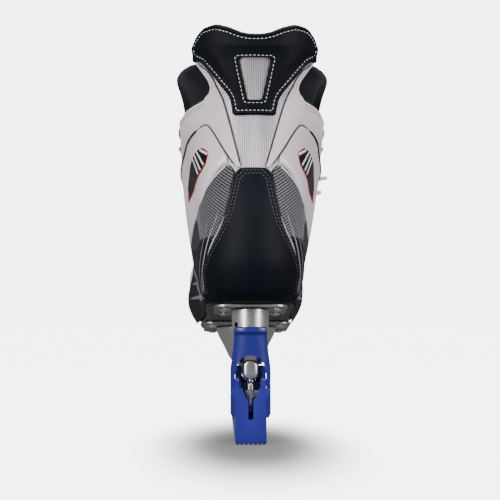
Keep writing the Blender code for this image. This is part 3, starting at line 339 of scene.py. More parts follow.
def tread(name, height, outset, thickness, columns, rows, edge):
    """A layer of the sole: flat across, following the pitch along, its edges rounded."""
    piece, a, b = grid_piece(name, columns, rows)
    x, y, _ = form_row(height)
    lean = np.gradient(np.stack([x, y], axis=1), axis=0)
    lean /= np.hypot(lean[:, 0], lean[:, 1])[:, None]
    half = np.maximum(x + outset * lean[:, 1], 0.5 * mm)
    station = y - outset * lean[:, 0]
    turn = (END_SHARE + (1 - 2 * END_SHARE) * bunched(b, 0.6)) * FORM_COLUMNS
    here = np.interp(turn, range(FORM_COLUMNS + 1), station)
    share = 2 * bunched(a) - 1
    width = np.interp(turn, range(FORM_COLUMNS + 1), half)
    flat = np.stack([width * share + TOE_SWING(here) + BOOT_LEAN * height, here], -1)
    low = sole_line(here) + height
    points = np.concatenate([flat, low[:, None]], axis=1)
    rise = quarter_round(rim_distance(points, a, b), edge)
    up = np.array([0, 0, 1])
    top = points + up * (thickness * (0.5 + 0.5 * rise))[:, None]
    bottom = points + up * (thickness * (0.5 - 0.5 * rise))[:, None]
    return closed(piece, top, bottom, flat)


outsole_plate = tread("outsole_plate", 0, OUTSOLE_EDGE, OUTSOLE_THICKNESS, 40, 150, 2 * mm)
fit(outsole_plate, "skate", "black_plastic", SOLE_PLASTIC, "outsole")

# ---------------------------------------------------------------- lasting board and footbed
# A pressed fibre board lies on the outsole inside the shell and takes the rivets. The black
# felt footbed lies loose on top of it, with its edge rounded where the foot goes in.
FOOTBED_HEIGHT, FOOTBED_INSET, FOOTBED_THICKNESS = 10 * mm, 8.4 * mm, 4 * mm
board_finish, tree, shader, coords = new_finish("pressed_board", Roughness=0.85)
fibres = node(tree, "TexNoise", {"Vector": coords, "Scale": 900, "Detail": 5}).outputs[0]
tree.links.new(shaded(tree, fibres, (0.1, 0.06, 0.035), (0.22, 0.15, 0.09)), shader.inputs[0])
bumped(tree, shader, fibres, 0.2 * mm)
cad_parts["lasting_board"].data.materials.clear()
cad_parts["lasting_board"].data.materials.append(board_finish)

LINING_FELT, tree, shader, coords = new_finish(
    "lining_felt", Roughness=0.95, Sheen_Weight=0.04, Sheen_Roughness=0.4, Specular_IOR_Level=0.12
)
fluff = node(tree, "TexNoise", {"Vector": coords, "Scale": 1500, "Detail": 6, "Roughness": 0.7})
worn = node(tree, "TexNoise", {"Vector": coords, "Scale": 35, "Detail": 3})
mixed = node(tree, "Math", {0: fluff.outputs[0], 1: worn.outputs[0]}, operation="MULTIPLY")
felt_colour = shaded(tree, mixed.outputs[0], (0.0015, 0.0018, 0.003), (0.014, 0.016, 0.022))
tree.links.new(felt_colour, shader.inputs["Base Color"])
bumped(tree, shader, fluff.outputs[0], 0.5 * mm)

felt_footbed = tread(
    "felt_footbed", FOOTBED_HEIGHT, -FOOTBED_INSET, FOOTBED_THICKNESS, 30, 120, 1.8 * mm
)
fit(felt_footbed, "skate", "black_lining", LINING_FELT, "footbed")

# ---------------------------------------------------------------- quarters
# The two white quarters are the boot's shell: bonded synthetic leather, cut in a left and a
# right piece, lasted over the board and open down the front, where seven eyelets a side go in.
THROAT_HALF = seam(
    (0, 4), (50, 10), (62, 24), (75, 34), (90, 42), (110, 51), (134, 63), (152, 68), (215, 70)
)
SEAM_GAP = 0.5 * mm
SHELL_WALL = 3 * mm
UPPER_FOOT = 5.4 * mm
COLLAR_HEIGHT = 152 * mm
COLLAR_LINE = seam((0, 152), (35, 152), (40, 150), (50, 148.2), (66, 147.4), (110, 148.4), (200, 150))
TOE_CAP_LINE = 74 * mm
EYELET_INSET = 9 * mm
EYELET_HOLE = 3.3 * mm
EYELET_COUNT = 7
FIRST_EYELET, LAST_EYELET = 78 * mm, 141 * mm
MIDDLE_HEIGHT = 100 * mm


def flat_at(value):
    """An edge that stays at one value."""
    return lambda q: value + 0 * np.asarray(q, float)


def round_to_station(height, station):
    """How far round from the centre back each outline passes a station along the skate."""
    shape = np.shape(height)
    height = np.atleast_1d(height)
    reach = girth(height)
    low, high = np.zeros_like(reach), reach.copy()
    for _ in range(22):
        middle = (low + high) / 2
        short = place(middle, height)[..., 1] < station
        low, high = np.where(short, middle, low), np.where(short, high, middle)
    return ((low + high) / 2).reshape(shape)


def shell_front(height):
    """Where a quarter ends: at the toe cap below, and at the throat above."""
    height = np.asarray(height, float)
    at_throat = girth(height) - THROAT_HALF(height)
    return np.minimum(at_throat, round_to_station(height, TOE_CAP_LINE))


def settled(a, b, edges, heights):
    """Around and height at shares a along and b up a panel with curved edges."""
    start, end = edges
    low, high = heights
    guess = start(np.full_like(a, MIDDLE_HEIGHT))
    height = (low(guess) + high(guess)) / 2
    for _ in range(8):
        around = start(height) + (end(height) - start(height)) * a
        height = low(around) + (high(around) - low(around)) * b
    return around, height


def on_side(side, edges, heights):
    """The shape of a panel on one side of the boot: 1 right, -1 left."""

    def shape(a, b):
        around, height = settled(a if side > 0 else 1 - a, b, edges, heights)
        return side * around, height

    return shape


def over_back(edge, heights):
    """The shape of a panel that crosses the centre back, edge away from it on both sides."""

    def shape(a, b):
        share = 2 * a - 1
        around, height = settled(np.abs(share), b, (flat_at(0), edge), heights)
        return np.sign(share) * around, height

    return shape


def over_front(half, heights):
    """The shape of a panel that crosses the centre front."""

    def shape(a, b):
        share = 1 - 2 * a
        across, height = settled(np.abs(share), b, (flat_at(0), half), heights)
        return round_from_front(np.where(share < 0, -1, 1) * across, height), height

    return shape


def laid_piece(name, shape, cells, wall, lift, edge=1 * mm, relief=None, both=False):
    """A closed piece laid on the boot from lift to lift + wall, its outer edge rolled over.

    relief(around, height, distance) adds to the outer face, distance from the rim; both rolls
    the inner edge too, as on a stuffed piece."""
    piece, a, b = grid_piece(name, *cells)
    around, height = shape(bunched(a), bunched(b))
    distance = rim_distance(on_boot(around, height, lift + 0 * around), a, b)
    rise = quarter_round(distance, edge)
    extra = relief(around, height, distance) * rise if relief else 0
    if both:
        outer = lift + wall * (0.5 + 0.5 * rise) + extra
        inner = lift + wall * (0.5 - 0.5 * rise)
    else:
        outer = lift + wall * rise + extra
        inner = lift + 0 * rise
    cloth = np.stack([around, height], -1)
    return closed(piece, on_boot(around, height, outer), on_boot(around, height, inner), cloth)


def leather_finish(name, dark, light, roughness, grain, depth, **constants):
    """Grained synthetic leather: creases between its cells with painted shade, pores, and uneven colour
    and gloss.
    """
    made, tree, shader, coords = new_finish(name, **constants)
    cells = node(
        tree, "TexVoronoi", {"Vector": coords, "Scale": grain}, feature="DISTANCE_TO_EDGE"
    )
    creases = node(tree, "MapRange", {"Value": cells.outputs[0], "From Max": 0.12}).outputs[0]
    pores = node(tree, "TexNoise", {"Vector": coords, "Scale": grain * 3, "Detail": 3})
    patches = node(tree, "TexNoise", {"Vector": coords, "Scale": 30, "Detail": 4})
    tone_and_crease_shade = node(tree, "Math", {0: patches.outputs[0], 1: 0.75}, operation="MULTIPLY").outputs[0]
    # The creases also darken the colour a little: painted shade in the grain, over random patches of
    # tone.
    tone_and_crease_shade = node(tree, "Math", {0: creases, 1: 0.25, 2: tone_and_crease_shade}, operation="MULTIPLY_ADD").outputs[0]
    height = node(
        tree, "Math", {0: pores.outputs[0], 1: 0.5, 2: creases}, operation="MULTIPLY_ADD"
    ).outputs[0]
    tree.links.new(shaded(tree, tone_and_crease_shade, dark, light), shader.inputs["Base Color"])
    tree.links.new(mapped(tree, patches.outputs[0], *roughness), shader.inputs["Roughness"])
    bumped(tree, shader, height, depth)
    return made


WHITE_LEATHER = leather_finish(
    "white_leather", (0.56, 0.455, 0.48), (0.80, 0.70, 0.725), (0.36, 0.56), 1500, 0.05 * mm
)


def eyelet_height(number):
    """How high an eyelet sits, the row being evenly spaced."""
    return FIRST_EYELET + (LAST_EYELET - FIRST_EYELET) * number / (EYELET_COUNT - 1)


def eyelet_spot(side, number):
    """Centre and outward direction of an eyelet on the quarter's face."""
    height = eyelet_height(number)
    around = side * (float(shell_front(height)) - EYELET_INSET)
    return Vector(on_boot(around, height, 0.0)), Vector(facing(around, height))


def cut_away(piece, cutter):
    """Cuts a piece with another, which is then removed."""
    step = piece.modifiers.new("cut", "BOOLEAN")
    step.object, step.solver = cutter, "EXACT"
    picked(piece)
    bpy.ops.object.modifier_apply(modifier=step.name)
    bpy.data.objects.remove(cutter)


def punch(centre, out, radius, depth, sides=32):
    """A round cutter standing through a face."""
    bpy.ops.object.select_all(action="DESELECT")
    bpy.ops.mesh.primitive_cylinder_add(
        vertices=sides, radius=radius, depth=depth, location=centre,
        rotation=out.to_track_quat("Z", "Y").to_euler(),
    )
    return bpy.context.object


def joined(pieces, name):
    """Several objects made one, with its place in its mesh."""
    bpy.ops.object.select_all(action="DESELECT")
    for piece in pieces:
        piece.select_set(True)
    bpy.context.view_layer.objects.active = pieces[0]
    if len(pieces) > 1:
        bpy.ops.object.join()
    bpy.ops.object.transform_apply(location=True, rotation=True, scale=True)
    made = bpy.context.object
    made.name = made.data.name = name
    return made


for side, side_name in ((1, "right"), (-1, "left")):
    quarter = laid_piece(
        f"quarter_shell_{side_name}",
        on_side(side, (flat_at(2 * SEAM_GAP), shell_front), (flat_at(UPPER_FOOT), COLLAR_LINE)),
        (130, 90),
        SHELL_WALL,
        -SHELL_WALL,
        edge=1.4 * mm,
        both=True,
    )
    holes = []
    for number in range(EYELET_COUNT):
        centre, out = eyelet_spot(side, number)
        holes.append(punch(centre, out, EYELET_HOLE, 14 * mm))
    cut_away(quarter, joined(holes, "eyelet_holes"))
    bpy.ops.object.shade_smooth_by_angle(angle=math.radians(50))
    fit(quarter, "skate", "white_leather", WHITE_LEATHER, f"quarter_{side_name}")

# ---------------------------------------------------------------- toe cap
# A hard moulded cap over the toes, tucked against the quarters' front edges. It is pressed in
# one piece and held by the lasting and by a welt seam on its back edge.
CAP_TOP = 61 * mm
CAP_PLASTIC = moulded_finish(
    "cap_plastic", (0.005, 0.006, 0.008), (0.015, 0.016, 0.02), (0.28, 0.42), 2200, 0.03 * mm
)


def toe_half(height):
    """How far the cap reaches round from the centre front, to its gap with the quarters."""
    return girth(height) - round_to_station(height, TOE_CAP_LINE + 2 * SEAM_GAP)


def cap_shape(a, b):
    """The cap's shape, its rows drawn together towards the top."""
    bent = np.sin(b * math.pi / 2)
    return over_front(toe_half, (flat_at(UPPER_FOOT), flat_at(CAP_TOP)))(a, bent)


toe_bumper = laid_piece(
    "toe_bumper", cap_shape, (110, 70), SHELL_WALL, -SHELL_WALL, edge=1.4 * mm, both=True
)
fit(toe_bumper, "skate", "black_plastic", CAP_PLASTIC, "toe_cap")

# ---------------------------------------------------------------- heel counter
# A smooth black coated leather piece wrapped round the heel, cut narrow at its top with round
# corners. Two rows of black thread hold it down each side and over the top.
COUNTER_EDGE = seam(
    (4, 39), (12, 42), (20, 43), (28, 40.5), (38, 34.5), (50, 26), (64, 19.2), (79, 15.5), (97, 12)
)
COUNTER_TOP = 97 * mm
COUNTER_CORNER = 4.5 * mm
COUNTER_WALL = 1.8 * mm
BLACK_LEATHER = leather_finish(
    "black_leather", (0.0012, 0.0018, 0.0036), (0.003, 0.0042, 0.008), (0.42, 0.56), 1900,
    0.025 * mm, Specular_IOR_Level=0.1,
)


def round_corner(height, top, radius):
    """How far a corner of this radius draws an edge in, near a piece's top."""
    share = np.clip((height - (top - radius)) / radius, 0, 1)
    return radius * (1 - np.sqrt(np.maximum(1 - share * share, 0)))


def groove(distance, inset, depth, width):
    """A groove pressed into a face at an inset, as a row of stitches pulls it."""
    return -depth * np.exp(-(((distance - inset) / width) ** 2))


def counter_half(height):
    return COUNTER_EDGE(height) - round_corner(height, COUNTER_TOP, COUNTER_CORNER)


heel_leather = laid_piece(
    "heel_leather",
    over_back(counter_half, (flat_at(2.2 * mm), flat_at(COUNTER_TOP))),
    (90, 120),
    COUNTER_WALL,
    LAYER_GAP,
    edge=1.6 * mm,
    relief=lambda around, height, distance: groove(distance, 3.4 * mm, 0.35 * mm, 1.1 * mm),
)
fit(heel_leather, "skate", "black_leather", BLACK_LEATHER, "heel_counter")

bpy.ops.object.select_all(action="DESELECT")
bpy.ops.mesh.primitive_uv_sphere_add(segments=6, ring_count=4, radius=1)
stitch_form = bpy.context.object
STITCH_POINTS = np.array([v.co for v in stitch_form.data.vertices])
STITCH_FACES = [tuple(face.vertices) for face in stitch_form.data.polygons]
bpy.data.objects.remove(stitch_form)


def run_along(spots):
    """How far along a line of points each of them is."""
    return np.concatenate([[0], np.cumsum(np.linalg.norm(np.diff(spots, axis=0), axis=1))])


def mesh_piece(name, points, faces, edges=()):
    """A new piece from points and faces, selected alone."""
    mesh = bpy.data.meshes.new(name)
    mesh.from_pydata([tuple(point) for point in points], edges, faces)
    piece = bpy.data.objects.new(name, mesh)
    bpy.context.scene.collection.objects.link(piece)
    return picked(piece)


def face_outwards():
    """Turns the active piece's normals outwards."""
    bpy.ops.object.mode_set(mode="EDIT")
    bpy.ops.mesh.select_all(action="SELECT")
    bpy.ops.mesh.normals_make_consistent(inside=False)
    bpy.ops.object.mode_set(mode="OBJECT")


def sewn(name, lines, lift, pitch, size):
    """Rows of stitches along lines of (around, height), as one mesh; size is (length, radius)."""
    length, radius = size
    points, faces = [], []
    for line in lines:
        spots = on_boot(line[:, 0], line[:, 1], lift + 0 * line[:, 0])
        run = run_along(spots)
        count = max(2, round(run[-1] / pitch))
        for stop in (np.arange(count) + 0.5) / count * run[-1]:
            around, height = np.interp(stop, run, line[:, 0]), np.interp(stop, run, line[:, 1])
            middle = on_boot(around, height, lift)
            ahead, behind = min(stop + length / 2, run[-1]), max(stop - length / 2, 0)
            way = np.array([np.diff(np.interp((behind, ahead), run, row))[0] for row in spots.T])
            way /= np.linalg.norm(way)
            side_way = np.cross(facing(around, height), way)
            up_way = np.cross(way, side_way)
            stretch = np.stack([way * length / 2, side_way * radius, up_way * radius])
            start = len(points)
            points.extend(middle + STITCH_POINTS[:, [2, 0, 1]] @ stretch)
            faces.extend(tuple(start + k for k in face) for face in STITCH_FACES)
    piece = mesh_piece(name, points, faces)
    face_outwards()
    bpy.ops.object.shade_smooth()
    return piece


def thread_finish(name, dark, light, roughness):
    """Twisted sewing thread."""
    made, tree, shader, coords = new_finish(name)
    twist = node(tree, "TexNoise", {"Vector": coords, "Scale": 4000, "Detail": 2}).outputs[0]
    tree.links.new(shaded(tree, twist, dark, light), shader.inputs["Base Color"])
    tree.links.new(mapped(tree, twist, *roughness), shader.inputs["Roughness"])
    bumped(tree, shader, twist, 0.1 * mm)
    return made


BLACK_THREAD = thread_finish("black_thread", (0.02, 0.021, 0.028), (0.085, 0.09, 0.11), (0.35, 0.5))
WHITE_THREAD = thread_finish("white_thread", (0.45, 0.44, 0.46), (0.78, 0.77, 0.8), (0.6, 0.8))
GREY_THREAD = thread_finish("grey_thread", (0.10, 0.08, 0.085), (0.22, 0.18, 0.19), (0.6, 0.8))


def counter_row(inset):
    """One row of the counter's stitches: up the left side, over the top, down the right."""
    rise = np.linspace(UPPER_FOOT + 3 * mm, COUNTER_TOP - inset, 60)
    slope = np.gradient(counter_half(rise), rise)
    right = np.stack([COUNTER_EDGE(rise) - inset * np.sqrt(1 + slope**2), rise], -1)
    corner = right[-1] - [COUNTER_CORNER * 0.7, 0]
    right = right[right[:, 1] < COUNTER_TOP - inset - COUNTER_CORNER * 0.8]
    left = right * [-1, 1]
    return np.concatenate([left, [corner * [-1, 1]], [corner], right[::-1]])


HEAVY_STITCH = (2.1 * mm, 0.34 * mm)
counter_stitches = sewn(
    "counter_stitches",
    [counter_row(2.4 * mm), counter_row(4.6 * mm)],
    LAYER_GAP + COUNTER_WALL,
    2.7 * mm,
    HEAVY_STITCH,
)
fit(counter_stitches, "skate", "black_leather", BLACK_THREAD)

# ---------------------------------------------------------------- woven side panels
# Beside the counter the boot is faced with an open woven cloth: a black ground with light grey
# threads running round the boot, held down by black ones that cross them.
MESH_TOP = seam(
    (13, 95), (18, 100), (40, 84.5), (49, 77), (84, 68),
    (106, 58), (140, 47), (180, 37), (215, 27), (260, 20),
)
PANEL_SPLIT = 47 * mm
PANEL_END = 130 * mm
SKIN_WALL = 1 * mm
THREAD_PITCH = 2.5 * mm
THREAD_RISE = 0.72
CROSSING_PITCH = 3.1 * mm
GROUND_PITCH = CROSSING_PITCH / 5
THREAD_ROWS = range(-28, 24)
WEAVE_END, WEAVE_SLANT = 50 * mm, 1.4
YARN_HALF, YARN_SWING = (0.56 * mm, 0.26 * mm), 0.26 * mm

WOVEN_GROUND, tree, shader, coords = new_finish("woven_ground", Roughness=0.75)
cloth_lines = node(tree, "UVMap", uv_map="cloth").outputs[0]
warp = node(
    tree, "TexWave", {"Vector": cloth_lines, "Scale": math.pi / (10 * GROUND_PITCH)},
    bands_direction="X",
).outputs[0]
tree.links.new(shaded(tree, warp, (0.003, 0.003, 0.004), (0.02, 0.02, 0.024)), shader.inputs[0])
bumped(tree, shader, warp, 0.3 * mm)
GREY_YARN = thread_finish("grey_yarn", (0.07, 0.07, 0.08), (0.22, 0.22, 0.25), (0.6, 0.8))


def counter_side(height):
    """Where the side panels start, a seam's gap from the heel counter."""
    return COUNTER_EDGE(height) + SEAM_GAP


def swept(line, outs, radii, sides):
    """A closed tube along a line of points; radii is (across, outwards), outs its up directions."""
    line = np.asarray(line, float)
    ways = np.gradient(line, axis=0)
    ways /= np.linalg.norm(ways, axis=1, keepdims=True)
    across = np.cross(outs, ways)
    across /= np.linalg.norm(across, axis=1, keepdims=True)
    ups = np.cross(ways, across)
    turn = np.arange(sides) / sides * 2 * math.pi
    wide, tall = (np.broadcast_to(np.asarray(r, float), len(line)) for r in radii)
    rings = (
        line[:, None]
        + across[:, None] * (np.cos(turn)[None, :, None] * wide[:, None, None])
        + ups[:, None] * (np.sin(turn)[None, :, None] * tall[:, None, None])
    )
    count = len(line)
    faces = []
    for i in range(count - 1):
        for j in range(sides):
            k = (j + 1) % sides
            here, ahead = i * sides, (i + 1) * sides
            faces.append((here + j, ahead + j, ahead + k, here + k))
    faces.append(tuple(range(sides)))
    faces.append(tuple(range((count - 1) * sides, count * sides))[::-1])
    return rings.reshape(-1, 3), faces


def tubes(name, runs, sides=6):
    """Several tubes as one mesh; each run is (line, outs, radii)."""
    points, faces = [], []
    for line, outs, radii in runs:
        start = sum(len(p) for p in points)
        more, its_faces = swept(line, outs, radii, sides)
        points.append(more)
        faces.extend(tuple(start + k for k in face) for face in its_faces)
    piece = mesh_piece(name, np.concatenate(points).tolist(), faces)
    face_outwards()
    bpy.ops.object.shade_smooth_by_angle(angle=math.radians(60))
    return piece


for side, side_name in ((1, "right"), (-1, "left")):
    woven_panel = laid_piece(
        f"woven_panel_{side_name}",
        on_side(
            side,
            (counter_side, flat_at(PANEL_END)),
            (flat_at(PANEL_SPLIT), lambda around: MESH_TOP(around) - SEAM_GAP),
        ),
        (70, 50),
        SKIN_WALL,
        LAYER_GAP,
        edge=0.8 * mm,
    )
    fit(woven_panel, "skate", "black_mesh", WOVEN_GROUND, f"mesh_panel_{side_name}")

    runs = []
    for row in THREAD_ROWS:
        around = np.arange(13 * mm, PANEL_END - 1 * mm, CROSSING_PITCH / 6)
        height = PANEL_SPLIT + row * THREAD_PITCH + THREAD_RISE * (around - 20 * mm)
        top = MESH_TOP(around) - SEAM_GAP - 0.9 * mm
        inside = (height > PANEL_SPLIT + 0.9 * mm) & (height < top)
        inside &= around > counter_side(height) + 0.7 * mm
        inside &= around < WEAVE_END + (height - PANEL_SPLIT) * WEAVE_SLANT
        around, height = around[inside], height[inside]
        if len(around) < 6:
            continue
        wave = np.sin(2 * math.pi * around / CROSSING_PITCH + math.pi * (row % 2))
        lift = LAYER_GAP + SKIN_WALL + 0.06 * mm + YARN_SWING * wave
        line = on_boot(side * around, height, lift)
        runs.append((line, facing(side * around, height), YARN_HALF))
    woven_threads = tubes(f"woven_threads_{side_name}", runs, 5)
    fit(woven_threads, "skate", "black_mesh", GREY_YARN)

# ---------------------------------------------------------------- lower side panels
# Under the woven cloth a long black leather panel runs from the counter to the toe. Its lower
# edge is lasted under the sole, and grey foil stripes are pressed across both it and the cloth.
for side, side_name in ((1, "right"), (-1, "left")):
    lower_panel = laid_piece(
        f"lower_panel_{side_name}",
        on_side(
            side,
            (counter_side, lambda height: shell_front(height) - 2 * mm),
            (
                flat_at(3 * mm),
                lambda around: np.minimum(PANEL_SPLIT - 2 * SEAM_GAP, MESH_TOP(around) - SEAM_GAP),
            ),
        ),
        (150, 50),
        SKIN_WALL,
        LAYER_GAP,
        edge=0.9 * mm,
    )
    fit(lower_panel, "skate", "black_leather", BLACK_LEATHER, f"side_panel_{side_name}")

def smooth_line(dots, steps):
    """A fine smooth line through points, with this many steps from each to the next."""
    padded = np.concatenate([[2 * dots[0] - dots[1]], dots, [2 * dots[-1] - dots[-2]]])
    fine = []
    for p, q, r, s in zip(padded, padded[1:], padded[2:], padded[3:]):
        bend, twist = 2 * p - 5 * q + 4 * r - s, 3 * q - p - 3 * r + s
        for t in np.linspace(0, 1, steps, endpoint=False):
            fine.append(0.5 * (2 * q + (r - p) * t + bend * t**2 + twist * t**3))
    return np.array(fine + [dots[-1]])


def boot_line(side, points):
    """A fine line on one side of the boot, through (around, height) points in millimetres."""
    return smooth_line(np.array(points, float) * mm, 16) * [side, 1]


DARK_CORD = moulded_finish(
    "dark_cord", (0.004, 0.004, 0.006), (0.012, 0.012, 0.015), (0.4, 0.6), 3000, 0.05 * mm
)


def on_line(line, lift):
    """Points and outward directions along a line of (around, height)."""
    return on_boot(line[:, 0], line[:, 1], lift + 0 * line[:, 0]), facing(line[:, 0], line[:, 1])


def corded(side, points, radius, lift):
    """A cord laid along (around, height) millimetre points, thinned at both its ends."""
    line = boot_line(side, points)
    spots, outs = on_line(line, lift)
    steps = np.arange(len(line))
    taper = np.clip(np.minimum(steps, steps[::-1]) / 6, 0.25, 1)
    return spots, outs, (radius * taper, radius * taper)


SPLIT_SEAM = ((29.4, 46.5), (60, 46.5), (95, 46.5), (128, 46.5))
COUNTER_SEAM = (
    (39.9, 4), (42.3, 12), (43.3, 20), (40.8, 28), (34.8, 38), (26.3, 50),
    (19.5, 64), (15.8, 79), (12.9, 93),
)
for side, side_name in ((1, "right"), (-1, "left")):
    panel_seams = tubes(
        f"panel_seams_{side_name}",
        [
            corded(side, SPLIT_SEAM, 0.62 * mm, 0.9 * mm),
            corded(side, COUNTER_SEAM, 0.5 * mm, 0.8 * mm),
        ],
        6,
    )
    fit(panel_seams, "skate", "black_leather", DARK_CORD)

FOIL = leather_finish(
    "stripe_foil", (0.20, 0.19, 0.215), (0.44, 0.43, 0.46), (0.3, 0.42), 2500, 0.02 * mm
)
DULL_FOIL = leather_finish(
    "dull_foil", (0.10, 0.098, 0.115), (0.21, 0.205, 0.235), (0.34, 0.46), 2500, 0.02 * mm
)


FOIL_WALL = 0.3 * mm
FOIL_LIFT = LAYER_GAP + SKIN_WALL - 0.1 * mm


def stripe(name, side, points, width, finish):
    """A pressed stripe along (around, height) millimetre points, tapered to both its ends."""
    line = boot_line(side, points)
    run = run_along(line)
    share = run / run[-1]
    ways = np.gradient(line, axis=0)
    ways /= np.linalg.norm(ways, axis=1, keepdims=True)
    across = np.stack([-ways[:, 1], ways[:, 0]], -1)
    wide = width * mm * (0.12 + 0.88 * np.sin(math.pi * np.clip(share, 0, 1)) ** 0.6)

    def shape(a, b):
        spot = [np.interp(a, share, line[:, k]) for k in range(2)]
        off = [np.interp(a, share, across[:, k]) for k in range(2)]
        half = np.interp(a, share, wide) * (b - 0.5)
        return spot[0] + off[0] * half, spot[1] + off[1] * half

    piece = laid_piece(name, shape, (90, 6), FOIL_WALL, FOIL_LIFT, edge=FOIL_WALL)
    return fit(piece, "skate", "silver_weave", finish)


STRIPES = (
    ("near", ((20.5, 62), (25.5, 52), (32.5, 42), (37.5, 31), (42.8, 20), (43.2, 9)), 1.6, FOIL),
    ("second", ((26, 66), (31, 56), (37.5, 44), (42, 31), (45.6, 18), (46, 9)), 1.1, FOIL),
    ("third", ((38, 62), (41.5, 52), (46, 41), (49, 29), (50, 17), (49, 8)), 1.0, DULL_FOIL),
    ("fourth", ((150, 38), (120, 31), (95, 23), (75, 16), (58, 10), (46, 6)), 3.8, DULL_FOIL),
    ("low_wide", ((180, 30), (150, 27.5), (115, 20.5), (88, 14), (66, 9), (52, 6)), 2.8, DULL_FOIL),
    ("lower_wide", ((195, 20), (150, 17), (110, 12), (80, 8.5), (62, 6)), 3.2, DULL_FOIL),
)
for side, side_name in ((1, "right"), (-1, "left")):
    for stripe_name, points, width, finish in STRIPES:
        stripe(f"stripe_{stripe_name}_{side_name}", side, points, width, finish)

# ---------------------------------------------------------------- back strip
# A silver coated strip runs up the centre back from the counter to under the tendon pad. It is
# embossed with fine upright ribs, and black thread in the seam shows along both sides.
STRIP_EDGE = seam(
    (98, 8.6), (132, 18), (146, 22.5), (153, 26), (167, 35), (176, 47), (190, 55)
)
STRIP_TOP = 177 * mm
RIB_PITCH = 1.3 * mm
SILVER_LEATHER = leather_finish(
    "silver_leather", (0.38, 0.345, 0.37), (0.62, 0.57, 0.60), (0.28, 0.42), 2600, 0.02 * mm,
    Metallic=0.45,
)
tree = SILVER_LEATHER.node_tree
# The colour is painted in dark and light bands at the rib pitch: painted shade of the ribs, over their
# relief.
flat_pattern = node(tree, "SeparateXYZ", {0: node(tree, "UVMap", uv_map="cloth").outputs[0]})
turn = node(
    tree, "Math", {0: flat_pattern.outputs[0], 1: 2 * math.pi / RIB_PITCH}, operation="MULTIPLY"
).outputs[0]
rib_shade = node(tree, "Math", {0: turn}, operation="COSINE").outputs[0]
rib_shade = node(tree, "MapRange", {"Value": rib_shade, "From Min": -1.0}).outputs[0]
rib_shade_colour = shaded(tree, rib_shade, (0.58, 0.53, 0.57), (0.18, 0.165, 0.18))
tree.links.new(rib_shade_colour, tree.nodes["Principled BSDF"].inputs["Base Color"])


def ribbed(pitch, depth):
    """A relief of upright ribs, its furrows this deep."""
    return lambda around, height, distance: (
        -depth * (1 - np.cos(2 * math.pi * around / pitch)) / 2
    )


back_ribbed = laid_piece(
    "back_ribbed",
    over_back(
        lambda height: STRIP_EDGE(height) - SEAM_GAP,
        (flat_at(COUNTER_TOP - 0.6 * mm), flat_at(STRIP_TOP)),
    ),
    (260, 60),
    SKIN_WALL,
    LAYER_GAP,
    edge=0.8 * mm,
    relief=ribbed(RIB_PITCH, 0.26 * mm),
)
fit(back_ribbed, "skate", "silver_weave", SILVER_LEATHER, "back_strip")

# ---------------------------------------------------------------- ankle panels
# A white leather panel lies over each ankle. Its top edge is cut in an arch, bound on the outer
# side with black cord, and a fine dark seam follows it down to the heel counter.
ARCH_SEAM = seam(
    (13, 98), (22.8, 112), (32, 126), (38, 131), (47, 129),
    (58, 126), (80, 121), (99, 116), (125, 107), (150, 97),
)
PANEL_REACH = 150 * mm
OUTER_BINDING = ((46, 129.4), (58, 126.2), (80, 121.2), (99, 116.2), (125, 107.2), (148, 98))
INNER_BINDING = ((13.2, 98.4), (18, 105.2), (22.8, 112.2), (32, 126.2), (38, 131.2), (47, 129.2))

for side, side_name in ((1, "right"), (-1, "left")):
    ankle_leather = laid_piece(
        f"ankle_leather_{side_name}",
        on_side(
            side,
            (flat_at(19 * mm), lambda height: np.minimum(shell_front(height) - 21 * mm, PANEL_REACH)),
            (lambda around: MESH_TOP(around) + SEAM_GAP, lambda around: ARCH_SEAM(around) - SEAM_GAP),
        ),
        (130, 70),
        SKIN_WALL,
        LAYER_GAP,
        edge=0.9 * mm,
    )
    fit(ankle_leather, "skate", "white_leather", WHITE_LEATHER, f"ankle_panel_{side_name}")
    binding = tubes(
        f"arch_binding_{side_name}",
        [
            corded(side, OUTER_BINDING, 0.85 * mm, 1.5 * mm),
            corded(side, INNER_BINDING, 0.42 * mm, 1.35 * mm),
        ],
        8,
    )
    fit(binding, "skate", "black_leather", DARK_CORD)

# ---------------------------------------------------------------- tendon guard
# The tall tab behind the tendon: a white shell that stands up from the quarters, lined with
# black felt, with a white wing on each side that runs down to the counter beside the strip.
TAB_EDGE = seam(
    (131, 36), (152, 33.5), (160, 35.4), (170, 43.6), (180, 53.6), (190, 58)
)
TAB_CREST = seam(
    (0, 191.2), (4, 191.4), (8.6, 192.3), (21, 197.3), (30, 199.5),
    (38, 199), (47, 194.5), (55, 186), (60, 183),
)
WING_OUTER = seam(
    (98, 12.2), (112, 21.8), (126, 31), (131, 35), (138, 39), (146, 40.5),
    (150, 39.4), (153, 35.4), (156.5, 34.2), (160, 35.4), (170, 43.6), (180, 53.6), (190, 58),
)
PAD_EDGE = seam((135, 15), (146, 17), (160, 27), (174, 40), (182, 51), (190, 54))
PAD_BOTTOM = 135 * mm
PAD_WALL = 2 * mm
LINER_WALL = 3 * mm
LINER_GAP = 1.2 * mm

tab_shell = laid_piece(
    "tab_shell",
    over_back(TAB_EDGE, (flat_at(COLLAR_HEIGHT + SEAM_GAP), lambda around: TAB_CREST(around) - 1 * mm)),
    (110, 60),
    SHELL_WALL,
    -SHELL_WALL,
    edge=1.4 * mm,
    both=True,
)
fit(tab_shell, "skate", "white_leather", WHITE_LEATHER, "tendon_shell")

tab_felt = laid_piece(
    "tab_felt",
    over_back(
        lambda height: TAB_EDGE(height) - 1.5 * mm,
        (flat_at(COLLAR_HEIGHT - 1.5 * mm), lambda around: TAB_CREST(around) - 2 * mm),
    ),
    (90, 50),
    LINER_WALL + LINER_GAP,
    -SHELL_WALL - LINER_GAP - LINER_WALL,
    edge=1.8 * mm,
    both=True,
)
fit(tab_felt, "skate", "black_lining", LINING_FELT, "tendon_lining")

